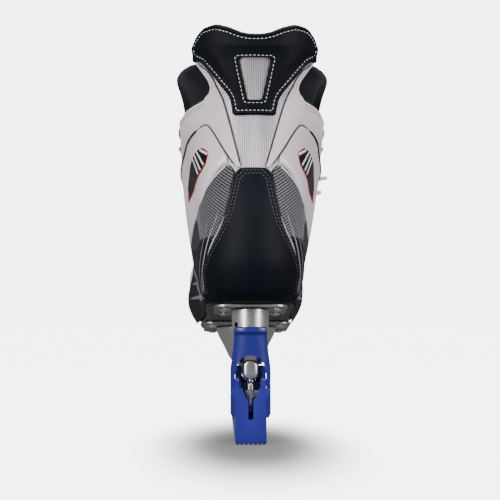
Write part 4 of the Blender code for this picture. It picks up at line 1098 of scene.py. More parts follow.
STRIP_SEAM = (
    (8.7, 98.6), (11.4, 108), (14.6, 120), (18, 132), (22.5, 146), (26, 153), (35, 167), (46, 175.4),
)
for side, side_name in ((1, "right"), (-1, "left")):
    wing = laid_piece(
        f"wing_leather_{side_name}",
        on_side(
            side,
            (lambda height: STRIP_EDGE(height) + SEAM_GAP, WING_OUTER),
            (flat_at(97.2 * mm), lambda around: np.minimum(TAB_CREST(around) - 4 * mm, 183 * mm)),
        ),
        (50, 110),
        SKIN_WALL,
        LAYER_GAP,
        edge=0.8 * mm,
    )
    fit(wing, "skate", "white_leather", WHITE_LEATHER, f"tendon_wing_{side_name}")
    strip_seam = tubes(
        f"strip_seam_{side_name}",
        [corded(side, STRIP_SEAM, 0.4 * mm, 1.3 * mm)],
        6,
    )
    fit(strip_seam, "skate", "black_leather", DARK_CORD)

FINE_PITCH, FINE_STITCH = 2.6 * mm, (1.9 * mm, 0.27 * mm)
wing_rows = []
for side in (1, -1):
    for inset in (2.75 * mm, 5.25 * mm):
        rise = np.linspace(156 * mm, 181 * mm, 40)
        wing_rows.append(np.stack([side * (WING_OUTER(rise) - inset), rise], -1))
wing_stitches = sewn("wing_stitches", wing_rows, LAYER_GAP + SKIN_WALL, FINE_PITCH, FINE_STITCH)
fit(wing_stitches, "skate", "white_leather", GREY_THREAD)

# ---------------------------------------------------------------- collar rows
# Two rows of grey stitches follow the top edge of each quarter. They go through the leather
# and hold the collar's lining.
collar_rows = []
for side in (1, -1):
    for inset in (2.6 * mm, 4.8 * mm):
        steps = np.linspace(42 * mm, 150 * mm, 120)
        collar_rows.append(np.stack([side * steps, COLLAR_LINE(steps) - inset], -1))
collar_stitches = sewn("collar_stitches", collar_rows, 0, FINE_PITCH, FINE_STITCH)
fit(collar_stitches, "skate", "white_leather", GREY_THREAD)

# ---------------------------------------------------------------- tendon pad
# A padded black leather piece covers the tab's back, thin foam under a smooth coat. A window in
# it shows the silver strip, and white thread runs inside its rim and round the window.
PAD_LIFT = LAYER_GAP + SKIN_WALL + LAYER_GAP
PAD_LEAN = BOOT_LEAN * COLLAR_HEIGHT
WINDOW_TOP, WINDOW_BOTTOM = 277 * mm, 247.6 * mm
WINDOW_TOP_HALF, WINDOW_BOTTOM_HALF = 11.2 * mm, 5.8 * mm
WINDOW_MIDDLE, WINDOW_RISE = (WINDOW_TOP + WINDOW_BOTTOM) / 2, (WINDOW_TOP - WINDOW_BOTTOM) / 2
WINDOW_CORNER = 2.2 * mm
PAD_ROW, WINDOW_ROW = 3.3 * mm, 2.1 * mm


def window_distance(x, z):
    """Distance outwards from the window's rounded outline, negative inside it."""
    share = np.clip((z - WINDOW_BOTTOM) / (WINDOW_TOP - WINDOW_BOTTOM), -0.3, 1.3)
    half = WINDOW_BOTTOM_HALF + (WINDOW_TOP_HALF - WINDOW_BOTTOM_HALF) * share
    to_side = (np.abs(x - PAD_LEAN) - half) * 0.98 + WINDOW_CORNER
    to_end = np.abs(z - WINDOW_MIDDLE) - WINDOW_RISE + WINDOW_CORNER
    outside = np.hypot(np.maximum(to_side, 0), np.maximum(to_end, 0))
    return outside + np.minimum(np.maximum(to_side, to_end), 0) - WINDOW_CORNER


def pad_relief(around, height, distance):
    """The foam swells the middle; the stitch rows pull grooves, and the window's rim rolls over."""
    spots = on_boot(around, height, 0 * around)
    window = window_distance(spots[:, 0], spots[:, 2])
    inner = np.minimum(distance, np.maximum(window, 0))
    swell = 1.1 * mm * ease((inner - 4.2 * mm) / (9 * mm))
    pulled = groove(distance, PAD_ROW, 0.45 * mm, 0.9 * mm)
    pulled = pulled + groove(window, WINDOW_ROW, 0.45 * mm, 0.8 * mm)
    roll = -PAD_WALL * 0.8 * (1 - quarter_round(np.maximum(window, 0), 1 * mm))
    return swell + pulled + roll


def pad_half(height):
    return PAD_EDGE(height) - round_corner(2 * PAD_BOTTOM - height, PAD_BOTTOM, 2.2 * mm)


tendon_leather = laid_piece(
    "tendon_leather",
    over_back(pad_half, (flat_at(PAD_BOTTOM), TAB_CREST)),
    (200, 150),
    PAD_WALL,
    PAD_LIFT,
    edge=1.7 * mm,
    relief=pad_relief,
)
window_dots = []
for sx, sz, turn in ((1, 1, 0), (-1, 1, 90), (-1, -1, 180), (1, -1, 270)):
    half = WINDOW_TOP_HALF if sz > 0 else WINDOW_BOTTOM_HALF
    end = WINDOW_TOP if sz > 0 else WINDOW_BOTTOM
    x, z = PAD_LEAN + sx * (half - WINDOW_CORNER), end - sz * WINDOW_CORNER
    for k in range(9):
        way = math.radians(turn + k * 90 / 8)
        window_dots.append((x + WINDOW_CORNER * math.cos(way), z + WINDOW_CORNER * math.sin(way)))
count = len(window_dots)
window_cutter = mesh_piece(
    "window_cutter",
    [(x, y, z) for y in (-0.2, -0.1) for x, z in window_dots],
    [tuple(range(count)), tuple(range(count, 2 * count))[::-1]]
    + [(k, k + count, (k + 1) % count + count, (k + 1) % count) for k in range(count)],
)
face_outwards()
cut_away(tendon_leather, window_cutter)
bpy.ops.object.shade_smooth_by_angle(angle=math.radians(50))
fit(tendon_leather, "skate", "black_leather", BLACK_LEATHER, "tendon_pad")


def from_spot(x, z):
    """Around and height of a place on the back of the boot, given as seen straight from behind."""
    around, height = x - PAD_LEAN, z - HEEL_STAND
    for _ in range(12):
        spot = place(around, height)
        around, height = around + (x - spot[0]) * 0.9, height + (z - spot[2])
    return around, height


pad_rise = np.linspace(PAD_BOTTOM + PAD_ROW, 186 * mm, 60)
pad_lean = np.gradient(PAD_EDGE(pad_rise), pad_rise)
pad_side = np.stack([PAD_EDGE(pad_rise) - PAD_ROW * np.sqrt(1 + pad_lean**2), pad_rise], -1)
pad_side = pad_side[pad_side[:, 1] < TAB_CREST(pad_side[:, 0]) - PAD_ROW]
crest_run = np.linspace(0, 50 * mm, 60)
crest_lean = np.gradient(TAB_CREST(crest_run), crest_run)
crest_row = np.stack([crest_run, TAB_CREST(crest_run) - PAD_ROW * np.sqrt(1 + crest_lean**2)], -1)
crest_row = crest_row[crest_row[:, 0] < PAD_EDGE(crest_row[:, 1]) - PAD_ROW]
across_bottom = np.linspace(-1, 1, 20) * pad_side[0, 0]
pad_bottom_row = np.stack([across_bottom, np.full(20, PAD_BOTTOM + PAD_ROW)], -1)
window_row = []
for x, z in window_dots + window_dots[:1]:
    wide = 1 + WINDOW_ROW / WINDOW_TOP_HALF * (1.0 if z > WINDOW_MIDDLE else 1.6)
    tall = 1 + WINDOW_ROW / WINDOW_RISE
    row_x, row_z = PAD_LEAN + (x - PAD_LEAN) * wide, WINDOW_MIDDLE + (z - WINDOW_MIDDLE) * tall
    window_row.append(from_spot(row_x, row_z))
pad_stitches = sewn(
    "pad_stitches",
    [
        pad_side,
        pad_side * [-1, 1],
        np.concatenate([(crest_row * [-1, 1])[::-1], crest_row[1:]]),
        pad_bottom_row,
        np.array(window_row),
    ],
    PAD_LIFT + PAD_WALL - 0.3 * mm,
    2.9 * mm,
    HEAVY_STITCH,
)
fit(pad_stitches, "skate", "white_leather", WHITE_THREAD)

# ---------------------------------------------------------------- side vents
# A moulded trim piece let into each ankle panel: a dark window with a red rim and four white
# bars across its upper end.
VENT_LOW = seam((36, 109.5), (40, 102.5), (57, 94.5), (97, 84))
VENT_HIGH = seam((36, 112), (43.6, 116), (71, 108), (90, 97), (97, 86.5))
TRIM_LIFT = LAYER_GAP + SKIN_WALL
RED_TRIM = moulded_finish(
    "red_trim", (0.30, 0.018, 0.012), (0.46, 0.035, 0.022), (0.3, 0.45), 2500, 0.03 * mm
)
DARK_WINDOW = moulded_finish(
    "dark_window", (0.002, 0.0025, 0.004), (0.006, 0.006, 0.01), (0.3, 0.45), 2500, 0.03 * mm,
    Specular_IOR_Level=0.2,
)
WHITE_BAR = moulded_finish(
    "white_bar", (0.6, 0.58, 0.6), (0.8, 0.78, 0.8), (0.3, 0.4), 2500, 0.03 * mm
)
RED_RIM = 0.9 * mm
BAR_COUNT, BAR_START, BAR_STEP, BAR_LEAN, BAR_INSET = 4, 45 * mm, 5 * mm, 8.5 * mm, 1.5 * mm

for side, side_name in ((1, "right"), (-1, "left")):
    red_rim = laid_piece(
        f"vent_rim_{side_name}",
        on_side(side, (flat_at(36 * mm), flat_at(97 * mm)), (VENT_LOW, VENT_HIGH)),
        (80, 24),
        0.8 * mm,
        TRIM_LIFT - 0.3 * mm,
        edge=0.7 * mm,
    )
    fit(red_rim, "skate", "red_trim", RED_TRIM, f"side_vent_{side_name}")
    vent_window = laid_piece(
        f"vent_window_{side_name}",
        on_side(
            side,
            (flat_at(37.2 * mm), flat_at(92 * mm)),
            (lambda around: VENT_LOW(around) + RED_RIM, lambda around: VENT_HIGH(around) - RED_RIM),
        ),
        (70, 18),
        0.5 * mm,
        TRIM_LIFT + 0.2 * mm,
        edge=0.4 * mm,
    )
    fit(vent_window, "skate", "black_plastic", DARK_WINDOW)
    bars = []
    for number in range(BAR_COUNT):
        top = BAR_START + number * BAR_STEP
        foot = top - BAR_LEAN
        high = np.array([top, float(VENT_HIGH(top)) - BAR_INSET])
        low = np.array([foot, float(VENT_LOW(foot)) + BAR_INSET])
        line = np.linspace(low, high, 12) * [side, 1]
        spots, outs = on_line(line, TRIM_LIFT + 0.7 * mm)
        bars.append((spots, outs, (1.0 * mm, 0.34 * mm)))
    vent_bars = tubes(f"vent_bars_{side_name}", bars, 10)
    fit(vent_bars, "skate", "white_leather", WHITE_BAR)

# ---------------------------------------------------------------- side badges
# A clear ribbed strip is welded along the ankle panel's lower edge, with a bright white cord
# between it and the woven cloth.
CLEAR_STRIP = moulded_finish(
    "clear_strip", (0.66, 0.63, 0.66), (0.86, 0.84, 0.87), (0.12, 0.22), 1500, 0.03 * mm,
    Coat_Weight=0.6,
)
EDGE_LINE = ((18.6, 100.2), (26, 94.8), (34, 89.4), (42, 83.6), (49, 77.6), (60, 74.2))
for side, side_name in ((1, "right"), (-1, "left")):
    ribbed_badge = laid_piece(
        f"ribbed_badge_{side_name}",
        on_side(
            side,
            (flat_at(20 * mm), flat_at(46 * mm)),
            (lambda around: MESH_TOP(around) + 2 * mm, lambda around: MESH_TOP(around) + 6.5 * mm),
        ),
        (150, 16),
        0.8 * mm,
        TRIM_LIFT - 0.1 * mm,
        edge=0.7 * mm,
        relief=ribbed(2.2 * mm, 0.22 * mm),
    )
    fit(ribbed_badge, "skate", "silver_weave", CLEAR_STRIP, f"side_badge_{side_name}")
    edge_cord = tubes(
        f"edge_cord_{side_name}",
        [corded(side, EDGE_LINE, 0.7 * mm, 1.45 * mm)],
        8,
    )
    fit(edge_cord, "skate", "white_leather", CLEAR_STRIP)

# ---------------------------------------------------------------- liner
# The boot is lined with thick black felt from the footbed to the collar, rounded at its top.
# It is a padded piece, bonded inside the quarters and sewn to them along the collar.
ankle_felt = laid_piece(
    "ankle_felt",
    over_back(
        lambda height: np.minimum(shell_front(height) - 2 * EYELET_INSET, PANEL_REACH),
        (flat_at(8.4 * mm), flat_at(COLLAR_HEIGHT - 0.5 * mm)),
    ),
    (120, 80),
    LINER_WALL + LINER_GAP - 0.2 * mm,
    -SHELL_WALL - LINER_GAP - LINER_WALL,
    edge=2 * mm,
    both=True,
)
fit(ankle_felt, "skate", "black_lining", LINING_FELT, "liner")

# ---------------------------------------------------------------- tongue
# One long piece of thick black felt from the toe cap to above the collar, cut wide at its top
# so that it flares out past the collar. It is sewn in at the toe.
TONGUE_HALF = seam(
    (50, 26), (62, 36), (80, 49), (110, 64), (134, 76),
    (152, 82), (168, 86), (180, 86), (195, 76), (206, 50),
)
TONGUE_CREST = seam((0, 207), (30, 207), (55, 203), (70, 196), (80, 187), (87, 174))
TONGUE_FOOT = 57 * mm
TONGUE_WALL = 6 * mm
TONGUE_DEPTH = 9 * mm
COLLAR_DEPTH = 4.4 * mm


def tongue_depth(height):
    """How far the felt's face lies inside the quarters; it comes out to them at the collar."""
    near_collar = ease((height - 134 * mm) / (22 * mm))
    above = ease((height - COLLAR_HEIGHT) / (20 * mm))
    return TONGUE_DEPTH + (COLLAR_DEPTH - TONGUE_DEPTH) * near_collar - 0.9 * mm * above


def tongue_half(height):
    inside_boot = np.minimum(TONGUE_HALF(height), girth(height) - 45 * mm)
    return np.where(height < COLLAR_HEIGHT, inside_boot, TONGUE_HALF(height))


piece, a, b = grid_piece("tongue_felt", 120, 130)
tongue_shape = over_front(tongue_half, (flat_at(TONGUE_FOOT), TONGUE_CREST))
around, height = tongue_shape(bunched(a), bunched(b, 0.5))
sunk = -tongue_depth(height)
rise = quarter_round(rim_distance(on_boot(around, height, sunk), a, b), 3.4 * mm)
quilt = 0.5 * mm * np.cos(2 * math.pi * (girth(height) - np.abs(around)) / (26 * mm))
quilt = quilt * rise * ease((COLLAR_HEIGHT - height) / (20 * mm))
outer = sunk - TONGUE_WALL * (0.5 - 0.5 * rise) + quilt
inner = sunk - TONGUE_WALL * (0.5 + 0.5 * rise)
top, bottom = on_boot(around, height, outer), on_boot(around, height, inner)
tongue_felt = closed(piece, top, bottom, np.stack([around, height], -1))
tongue_felt.data.materials.clear()
tongue_felt.data.materials.append(LINING_FELT)
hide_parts("tongue", "tongue_top")
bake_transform(tongue_felt)

# ---------------------------------------------------------------- eyelets
# Seven black enamelled steel eyelets a side, each a drawn barrel rolled over to a round flange
# on the leather's face and splayed behind it.
ENAMEL = moulded_finish(
    "black_enamel", (0.012, 0.012, 0.014), (0.03, 0.03, 0.034), (0.2, 0.38), 1500, 0.02 * mm,
    Metallic=0.6,
)


def turned(name, profile, steps, closed_profile=True):
    """A piece turned about Z from (radius, height) points, its doubles merged."""
    count = len(profile)
    edges = [(k, k + 1) for k in range(count - 1)] + ([(count - 1, 0)] if closed_profile else [])
    piece = mesh_piece(name, [(r, 0, z) for r, z in profile], [], edges)
    step = piece.modifiers.new("turn", "SCREW")
    step.steps = step.render_steps = steps
    step.use_merge_vertices, step.merge_threshold = True, 0.005 * mm
    bpy.ops.object.modifier_apply(modifier=step.name)
    bpy.ops.object.mode_set(mode="EDIT")
    bpy.ops.mesh.select_all(action="SELECT")
    bpy.ops.mesh.remove_doubles(threshold=0.003 * mm)
    bpy.ops.mesh.normals_make_consistent(inside=False)
    bpy.ops.object.mode_set(mode="OBJECT")
    bpy.ops.object.shade_smooth_by_angle(angle=math.radians(40))
    return piece


def arc(centre, radius, start, end, steps):
    """Points on an arc, angles in degrees, both ends included."""
    ways = [math.radians(start + (end - start) * k / steps) for k in range(steps + 1)]
    return [(centre[0] + radius * math.cos(w), centre[1] + radius * math.sin(w)) for w in ways]


EYELET_PROFILE = (
    arc((3.65 * mm, 0.45 * mm), 0.95 * mm, 180, 0, 14)
    + [(4.55 * mm, 0.15 * mm), (3.3 * mm, 0.1 * mm), (3.2 * mm, -2.9 * mm), (2.7 * mm, -3.0 * mm)]
)
for side, side_name in ((1, "right"), (-1, "left")):
    for number in range(EYELET_COUNT):
        centre, out = eyelet_spot(side, number)
        ring = turned(f"eyelet_ring_{side_name}_{number + 1}", EYELET_PROFILE, 40)
        turn = out.to_track_quat("Z", "Y").to_matrix().to_4x4()
        ring.data.transform(Matrix.Translation(centre) @ turn)
        fit(ring, "skate", "black_metal", ENAMEL, f"eyelet_{side_name}_{number + 1}")

# ---------------------------------------------------------------- lace
# One white braided lace, laced criss-cross through six eyelets a side and drawn loosely: it
# crosses the tongue, runs up through each eyelet and over the edge, and its ends are tucked in.
LACE_RADIUS = 1.5 * mm
LACED_EYELETS = 6
UNDER, OVER = -6.2 * mm, 3.4 * mm
LOOSE_LOOPS = (9 * mm, 10 * mm, 11.5 * mm, 10.5 * mm)
LOOP_SWING = np.array([4 * mm, -1.5 * mm, 0])
BOTTOM_DROP, BOTTOM_LIFT = 1 * mm, -5.6 * mm
BRAID_PITCH, BRAID_TURNS = 3.2 * mm, 3.0

LACE_BRAID, tree, shader, coords = new_finish("lace_braid", Roughness=0.85, Sheen_Weight=0.2)
along_lace = node(tree, "SeparateXYZ", {0: node(tree, "UVMap", uv_map="cloth").outputs[0]})
strands = []
for way in (1, -1):
    lean = node(tree, "Math", {0: along_lace.outputs[1], 1: way * BRAID_TURNS}, operation="MULTIPLY")
    ply = node(
        tree, "Math", {0: along_lace.outputs[0], 1: 1 / BRAID_PITCH, 2: lean.outputs[0]},
        operation="MULTIPLY_ADD",
    )
    turn = node(tree, "Math", {0: ply.outputs[0], 1: 2 * math.pi * 2}, operation="MULTIPLY")
    strands.append(node(tree, "Math", {0: turn.outputs[0]}, operation="SINE").outputs[0])
braid = node(tree, "Math", {0: strands[0], 1: strands[1]}, operation="MAXIMUM").outputs[0]
braid = mapped(tree, braid, 0.0, 1.0)
# The gaps between the strands are painted darker: painted shade in the braid's grooves.
tree.links.new(shaded(tree, braid, (0.52, 0.49, 0.51), (0.84, 0.82, 0.84)), shader.inputs[0])
bumped(tree, shader, braid, 0.25 * mm)


def front_spot(across, height, lift):
    """A point of the lace given from the centre front."""
    return on_boot(round_from_front(across, height), height, lift)


def lace_dot(side, number, beyond, lift):
    """A point of the lace beyond an eyelet, towards the throat."""
    height = eyelet_height(number)
    return on_boot(side * (float(shell_front(height)) - EYELET_INSET + beyond), height, lift)


def through_eyelet(side, number):
    """The lace's points up through an eyelet and over the quarter's edge."""
    centre, out = (np.array(value) for value in eyelet_spot(side, number))
    points = [
        lace_dot(side, number, 7 * mm, UNDER),
        lace_dot(side, number, 2 * mm, UNDER),
        centre - out * 4.4 * mm,
        centre - out * 1 * mm,
        centre + out * 1.6 * mm,
    ]
    if side > 0 and number < len(LOOSE_LOOPS):
        loop = LOOSE_LOOPS[number]
        return points + [
            centre + out * loop * 0.55 + LOOP_SWING * 0.5,
            lace_dot(side, number, 1.6 * mm, loop) + LOOP_SWING,
            lace_dot(side, number, 5.4 * mm, loop * 0.8) + LOOP_SWING * 0.6,
            lace_dot(side, number, 7.2 * mm, OVER),
        ]
    return points + [lace_dot(side, number, 2.2 * mm, OVER), lace_dot(side, number, 6.5 * mm, OVER)]


def crossing(side, number, over):
    """The lace's points over the tongue to the other side's next eyelet."""
    low, high = eyelet_height(number), eyelet_height(number + 1)
    middle = -2.2 * mm if over else -6.1 * mm
    start, end = float(THROAT_HALF(low)), float(THROAT_HALF(high))
    stops = [
        (side * (start - 1.8 * mm), 0.07, 1.6 * mm),
        (side * (start - 7 * mm), 0.16, -2.2 * mm),
        (side * start * 0.62, 0.27, -4.6 * mm),
        (side * start * 0.3, 0.39, middle),
        (0, 0.5, middle),
        (-side * end * 0.3, 0.61, middle),
        (-side * end * 0.62, 0.73, -5.4 * mm),
        (-side * (end - 5 * mm), 0.84, UNDER),
    ]
    return [front_spot(across, low + (high - low) * share, lift) for across, share, lift in stops]


def lace_half(first_side):
    """One end's run of the lace, from the lowest eyelet to the last laced one."""
    side, points = first_side, through_eyelet(first_side, 0)
    for number in range(LACED_EYELETS - 1):
        points += crossing(side, number, over=first_side > 0)
        side = -side
        points += through_eyelet(side, number + 1)
    last = eyelet_height(LACED_EYELETS - 1)
    edge = float(THROAT_HALF(last))
    tail = [
        (edge - 2.2 * mm, 2 * mm, 1 * mm),
        (edge - 3.4 * mm, 4 * mm, -3 * mm),
        (edge - 1 * mm, 6 * mm, UNDER),
        (edge + 5 * mm, 8 * mm, UNDER - 0.2 * mm),
        (edge + 12 * mm, 10 * mm, UNDER - 0.2 * mm),
    ]
    return points + [front_spot(side * across, last + rise, lift) for across, rise, lift in tail]


def smooth_route(points, spacing):
    """Points spaced evenly along a smooth curve through the given ones, and their run."""
    line = smooth_line(np.array(points, float), 8)
    run = run_along(line)
    stops = np.linspace(0, run[-1], round(run[-1] / spacing) + 1)
    return np.stack([np.interp(stops, run, line[:, k]) for k in range(3)], -1), stops


bottom_bar = [
    front_spot(side * float(THROAT_HALF(FIRST_EYELET)) * 0.5, FIRST_EYELET - BOTTOM_DROP, BOTTOM_LIFT)
    for side in (-1, 1)
]
lace_line, lace_run = smooth_route(lace_half(-1)[::-1] + bottom_bar + lace_half(1), 1.2 * mm)
lace_ways = np.gradient(lace_line, axis=0)
lace_ways /= np.linalg.norm(lace_ways, axis=1, keepdims=True)
lace_ups = [np.array([0.0, 0.3, 1.0])]
for way in lace_ways:
    up = lace_ups[-1] - way * (lace_ups[-1] @ way)
    lace_ups.append(up / np.linalg.norm(up))
LACE_SIDES = 14
tip = np.clip(np.minimum(lace_run, lace_run[-1] - lace_run) / (2 * mm), 0.15, 1)
braided_lace = tubes(
    "braided_lace",
    [(lace_line, np.array(lace_ups[1:]), (LACE_RADIUS * tip, LACE_RADIUS * tip))],
    LACE_SIDES,
)
lace_uv = braided_lace.data.uv_layers.new(name="cloth").data
for face in braided_lace.data.polygons:
    sides_here = [braided_lace.data.loops[k].vertex_index % LACE_SIDES for k in face.loop_indices]
    wraps = 0 in sides_here and LACE_SIDES - 1 in sides_here
    for k in face.loop_indices:
        ring_at, turn_at = divmod(braided_lace.data.loops[k].vertex_index, LACE_SIDES)
        turn_at = LACE_SIDES if wraps and turn_at == 0 else turn_at
        lace_uv[k].uv = (lace_run[ring_at], turn_at / LACE_SIDES)
fit(braided_lace, "skate", "lace_cotton", LACE_BRAID, "lace")

# ---------------------------------------------------------------- blade tube
# A drawn steel tube, flattened at its sides and slit along the bottom for the blade. It is
# closed at both ends with domed plugs, brazed in and polished over.
BLADE_BOTTOM = 18.4 * mm
TUBE_BOTTOM = BLADE_BOTTOM + 26.6 * mm
TUBE_HALF, TUBE_HEIGHT = 6.2 * mm, 17 * mm
TUBE_HEEL, TUBE_TOE = -107 * mm, 118 * mm
TUBE_MIDDLE = TUBE_BOTTOM + TUBE_HEIGHT / 2
TUBE_STRAIGHT = TUBE_HEIGHT / 2 - TUBE_HALF


def steel_finish(name, dark, light, roughness, stretch, depth):
    """Steel with fine scratches drawn out one way, and a little uneven in its plating."""
    made, tree, shader, coords = new_finish(name, Metallic=1.0)
    drawn = node(tree, "Mapping", {"Vector": coords, "Scale": stretch}).outputs[0]
    scratches = node(tree, "TexNoise", {"Vector": drawn, "Scale": 1.0, "Detail": 4}).outputs[0]
    patches = node(tree, "TexNoise", {"Vector": coords, "Scale": 40, "Detail": 4}).outputs[0]
    both = node(tree, "Math", {0: scratches, 1: patches}, operation="MULTIPLY").outputs[0]
    tree.links.new(shaded(tree, patches, dark, light), shader.inputs["Base Color"])
    share = node(tree, "MapRange", {"Value": both, "From Min": 0.1, "From Max": 0.45}).outputs[0]
    tree.links.new(mapped(tree, share, *roughness), shader.inputs["Roughness"])
    bumped(tree, shader, scratches, depth)
    return made


TUBE_STEEL = steel_finish(
    "tube_steel", (0.56, 0.55, 0.55), (0.74, 0.73, 0.73), (0.2, 0.4), (2200, 60, 2200), 0.015 * mm
)


def tube_form(point):
    """A round bar's point moved to the tube's section: its halves drawn apart by the straights."""
    return point + Vector((0, 0, TUBE_STRAIGHT if point.z > 0 else -TUBE_STRAIGHT))


bpy.ops.object.select_all(action="DESELECT")
bpy.ops.mesh.primitive_cylinder_add(
    vertices=64, radius=TUBE_HALF, depth=TUBE_TOE - TUBE_HEEL, end_fill_type="NGON",
    rotation=(math.pi / 2, 0, 0),
)
steel_tube = joined([bpy.context.object], "steel_tube")
for vertex in steel_tube.data.vertices:
    vertex.co = tube_form(vertex.co) + Vector((0, (TUBE_HEEL + TUBE_TOE) / 2, TUBE_MIDDLE))
bpy.ops.object.shade_smooth_by_angle(angle=math.radians(40))
fit(steel_tube, "skate", "plated_steel", TUBE_STEEL, "blade_tube")

DOME_HALF, DOME_DEPTH, DOME_SQUARENESS = TUBE_HALF * 0.99, 0.62, 0.45
for plug_name, station, way in (("heel", TUBE_HEEL, -1), ("toe", TUBE_TOE, 1)):
    bpy.ops.object.select_all(action="DESELECT")
    bpy.ops.mesh.primitive_uv_sphere_add(segments=64, ring_count=33, radius=DOME_HALF)
    dome = joined([bpy.context.object], f"tube_dome_{plug_name}")
    for vertex in dome.data.vertices:
        depth = vertex.co.y * way * DOME_DEPTH
        spread = (math.hypot(vertex.co.x, vertex.co.z) / DOME_HALF + 1e-6) ** -DOME_SQUARENESS
        vertex.co = tube_form(Vector((vertex.co.x * spread, 0, vertex.co.z * spread)))
        vertex.co.y = station + way * (max(depth, -1 * mm) + 0.3 * mm)
        vertex.co.z += TUBE_MIDDLE
    bpy.ops.object.shade_smooth()
    fit(dome, "skate", "plated_steel", TUBE_STEEL, f"tube_{plug_name}_plug")

# ---------------------------------------------------------------- blade
# The runner is a flat steel blade, three millimetres thick, set up into the tube's slit. Its
# bottom edge is ground to a long rocker and its toe and heel are cut round.
BLADE_STEEL = steel_finish(
    "blade_steel", (0.62, 0.63, 0.65), (0.8, 0.81, 0.83), (0.14, 0.3), (2600, 50, 1200), 0.01 * mm
)


def copied(node_name, name, edge, segments=3, flat=3, angle=35):
    """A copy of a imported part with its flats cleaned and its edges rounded."""
    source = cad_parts[node_name]
    piece = bpy.data.objects.new(name, source.data.copy())
    piece.data.name = name
    bpy.context.scene.collection.objects.link(piece)
    picked(piece)
    bpy.ops.object.mode_set(mode="EDIT")
    bpy.ops.mesh.select_all(action="SELECT")
    bpy.ops.mesh.remove_doubles(threshold=0.004 * mm)
    bpy.ops.mesh.dissolve_limited(angle_limit=math.radians(flat))
    bpy.ops.object.mode_set(mode="OBJECT")
    step = piece.modifiers.new("edge", "BEVEL")
    step.width, step.segments, step.limit_method = edge, segments, "ANGLE"
    step.angle_limit, step.use_clamp_overlap, step.harden_normals = math.radians(angle), True, False
    bpy.ops.object.modifier_apply(modifier=step.name)
    bpy.ops.object.shade_smooth_by_angle(angle=math.radians(32))
    return piece


runner = copied("blade", "runner", 0.25 * mm)
fit(runner, "skate", "blade_steel", BLADE_STEEL, "blade")

# ---------------------------------------------------------------- cups
# Two cups drawn from steel sheet stand on the tube and carry the plates: a narrow one under the
# heel, with a small vent hole, and a wide one that flares out under the ball of the foot.
CUP_WALL = 1.5 * mm
TUBE_TOP = TUBE_BOTTOM + TUBE_HEIGHT
HEEL_CUP_STATION, HEEL_CUP_RADIUS = -100 * mm, 13.7 * mm
SOLE_CUP_STATION, SOLE_CUP_RADIUS = 58 * mm, 25 * mm
VENT_RADIUS, VENT_HEIGHT, VENT_TURN = 1.9 * mm, 86 * mm, math.radians(52)
PLATE_TOP, PLATE_THICKNESS, FIT = -0.3 * mm, 2.6 * mm, 0.3 * mm
CUP_STEEL = steel_finish(
    "cup_steel", (0.60, 0.59, 0.59), (0.78, 0.77, 0.77), (0.24, 0.42), (1500, 1500, 60), 0.015 * mm
)


def under_sole(station):
    """Height of the plates' underside at a station."""
    drop = (PLATE_TOP - PLATE_THICKNESS - FIT) / math.cos(SOLE_PITCH)
    return HEEL_STAND - math.tan(SOLE_PITCH) * (station - HEEL_STATION) + drop


def cup(name, station, outline):
    """A drawn cup from its smooth outer outline, its top rim laid against the pitched plate."""
    radius_at = curve_through(*[(z / mm, r / mm) for r, z in outline[::-1]])
    low, high = outline[-1][1], outline[0][1]
    heights = np.linspace(high, low, 60)
    outer = [(float(radius_at(z / mm)) * mm, z) for z in heights]
    inner = [(max(r - CUP_WALL, 1 * mm), z) for r, z in outer[::-1]]
    made = turned(name, outer + inner, 120)
    for vertex in made.data.vertices:
        vertex.co.y += station
        top = under_sole(vertex.co.y)
        share = (vertex.co.z - low) / (high - low)
        vertex.co.z = low + (top + 0.2 * mm - low) * share
    return made


heel_cup = cup(
    "heel_post",
    HEEL_CUP_STATION,
    [
        (HEEL_CUP_RADIUS, 97.4 * mm),
        (HEEL_CUP_RADIUS - 0.2 * mm, 89 * mm),
        (HEEL_CUP_RADIUS - 0.9 * mm, TUBE_TOP + 12 * mm),
        (HEEL_CUP_RADIUS - 1.6 * mm, TUBE_TOP + 4 * mm),
        (HEEL_CUP_RADIUS - 3.6 * mm, TUBE_TOP - 2 * mm),
        (HEEL_CUP_RADIUS - 5.2 * mm, TUBE_TOP - 5 * mm),
    ],
)
vent_way = Vector((-math.sin(VENT_TURN), -math.cos(VENT_TURN), 0))
vent_middle = Vector((0, HEEL_CUP_STATION, VENT_HEIGHT)) + vent_way * HEEL_CUP_RADIUS
cut_away(heel_cup, punch(vent_middle, vent_way, VENT_RADIUS, 6 * mm, 40))
bpy.ops.object.shade_smooth_by_angle(angle=math.radians(40))
fit(heel_cup, "skate", "plated_steel", CUP_STEEL, "heel_cup")

sole_cup = cup(
    "ball_post",
    SOLE_CUP_STATION,
    [
        (SOLE_CUP_RADIUS, 82 * mm),
        (SOLE_CUP_RADIUS - 0.6 * mm, TUBE_TOP + 17 * mm),
        (SOLE_CUP_RADIUS - 6 * mm, TUBE_TOP + 6 * mm),
        (SOLE_CUP_RADIUS - 11 * mm, TUBE_TOP - 4 * mm),
        (SOLE_CUP_RADIUS - 15 * mm, TUBE_TOP - 9 * mm),
    ],
)
fit(sole_cup, "skate", "plated_steel", CUP_STEEL, "sole_cup")

# ---------------------------------------------------------------- plates
# Each cup ends in a pressed steel plate with round corners and a rolled rim, dished a little
# inside the rim, which lies under the pitched sole.
PLATE_CORNER = 9 * mm
PLATE_RIM = 2.4 * mm
PLATE_EDGE = 0.85 * mm
PLATE_DISH = 0.9 * mm
# The plates' steel is a darker copy of the cups' steel: painted shade, for faces that look down.
SHADED_PLATE_STEEL = steel_finish(
    "plate_steel_shaded", (0.26, 0.255, 0.265), (0.42, 0.41, 0.42), (0.34, 0.5), (900, 900, 900), 0.015 * mm
)
to_sole = Matrix.Translation((0, HEEL_STATION, HEEL_STAND)) @ Matrix.Rotation(-SOLE_PITCH, 4, "X")


def sole_matrix(x, station):
    """Where a fitting sits on the pitched plane under the boot."""
    return to_sole @ Matrix.Translation((x, (station - HEEL_STATION) / math.cos(SOLE_PITCH), 0))


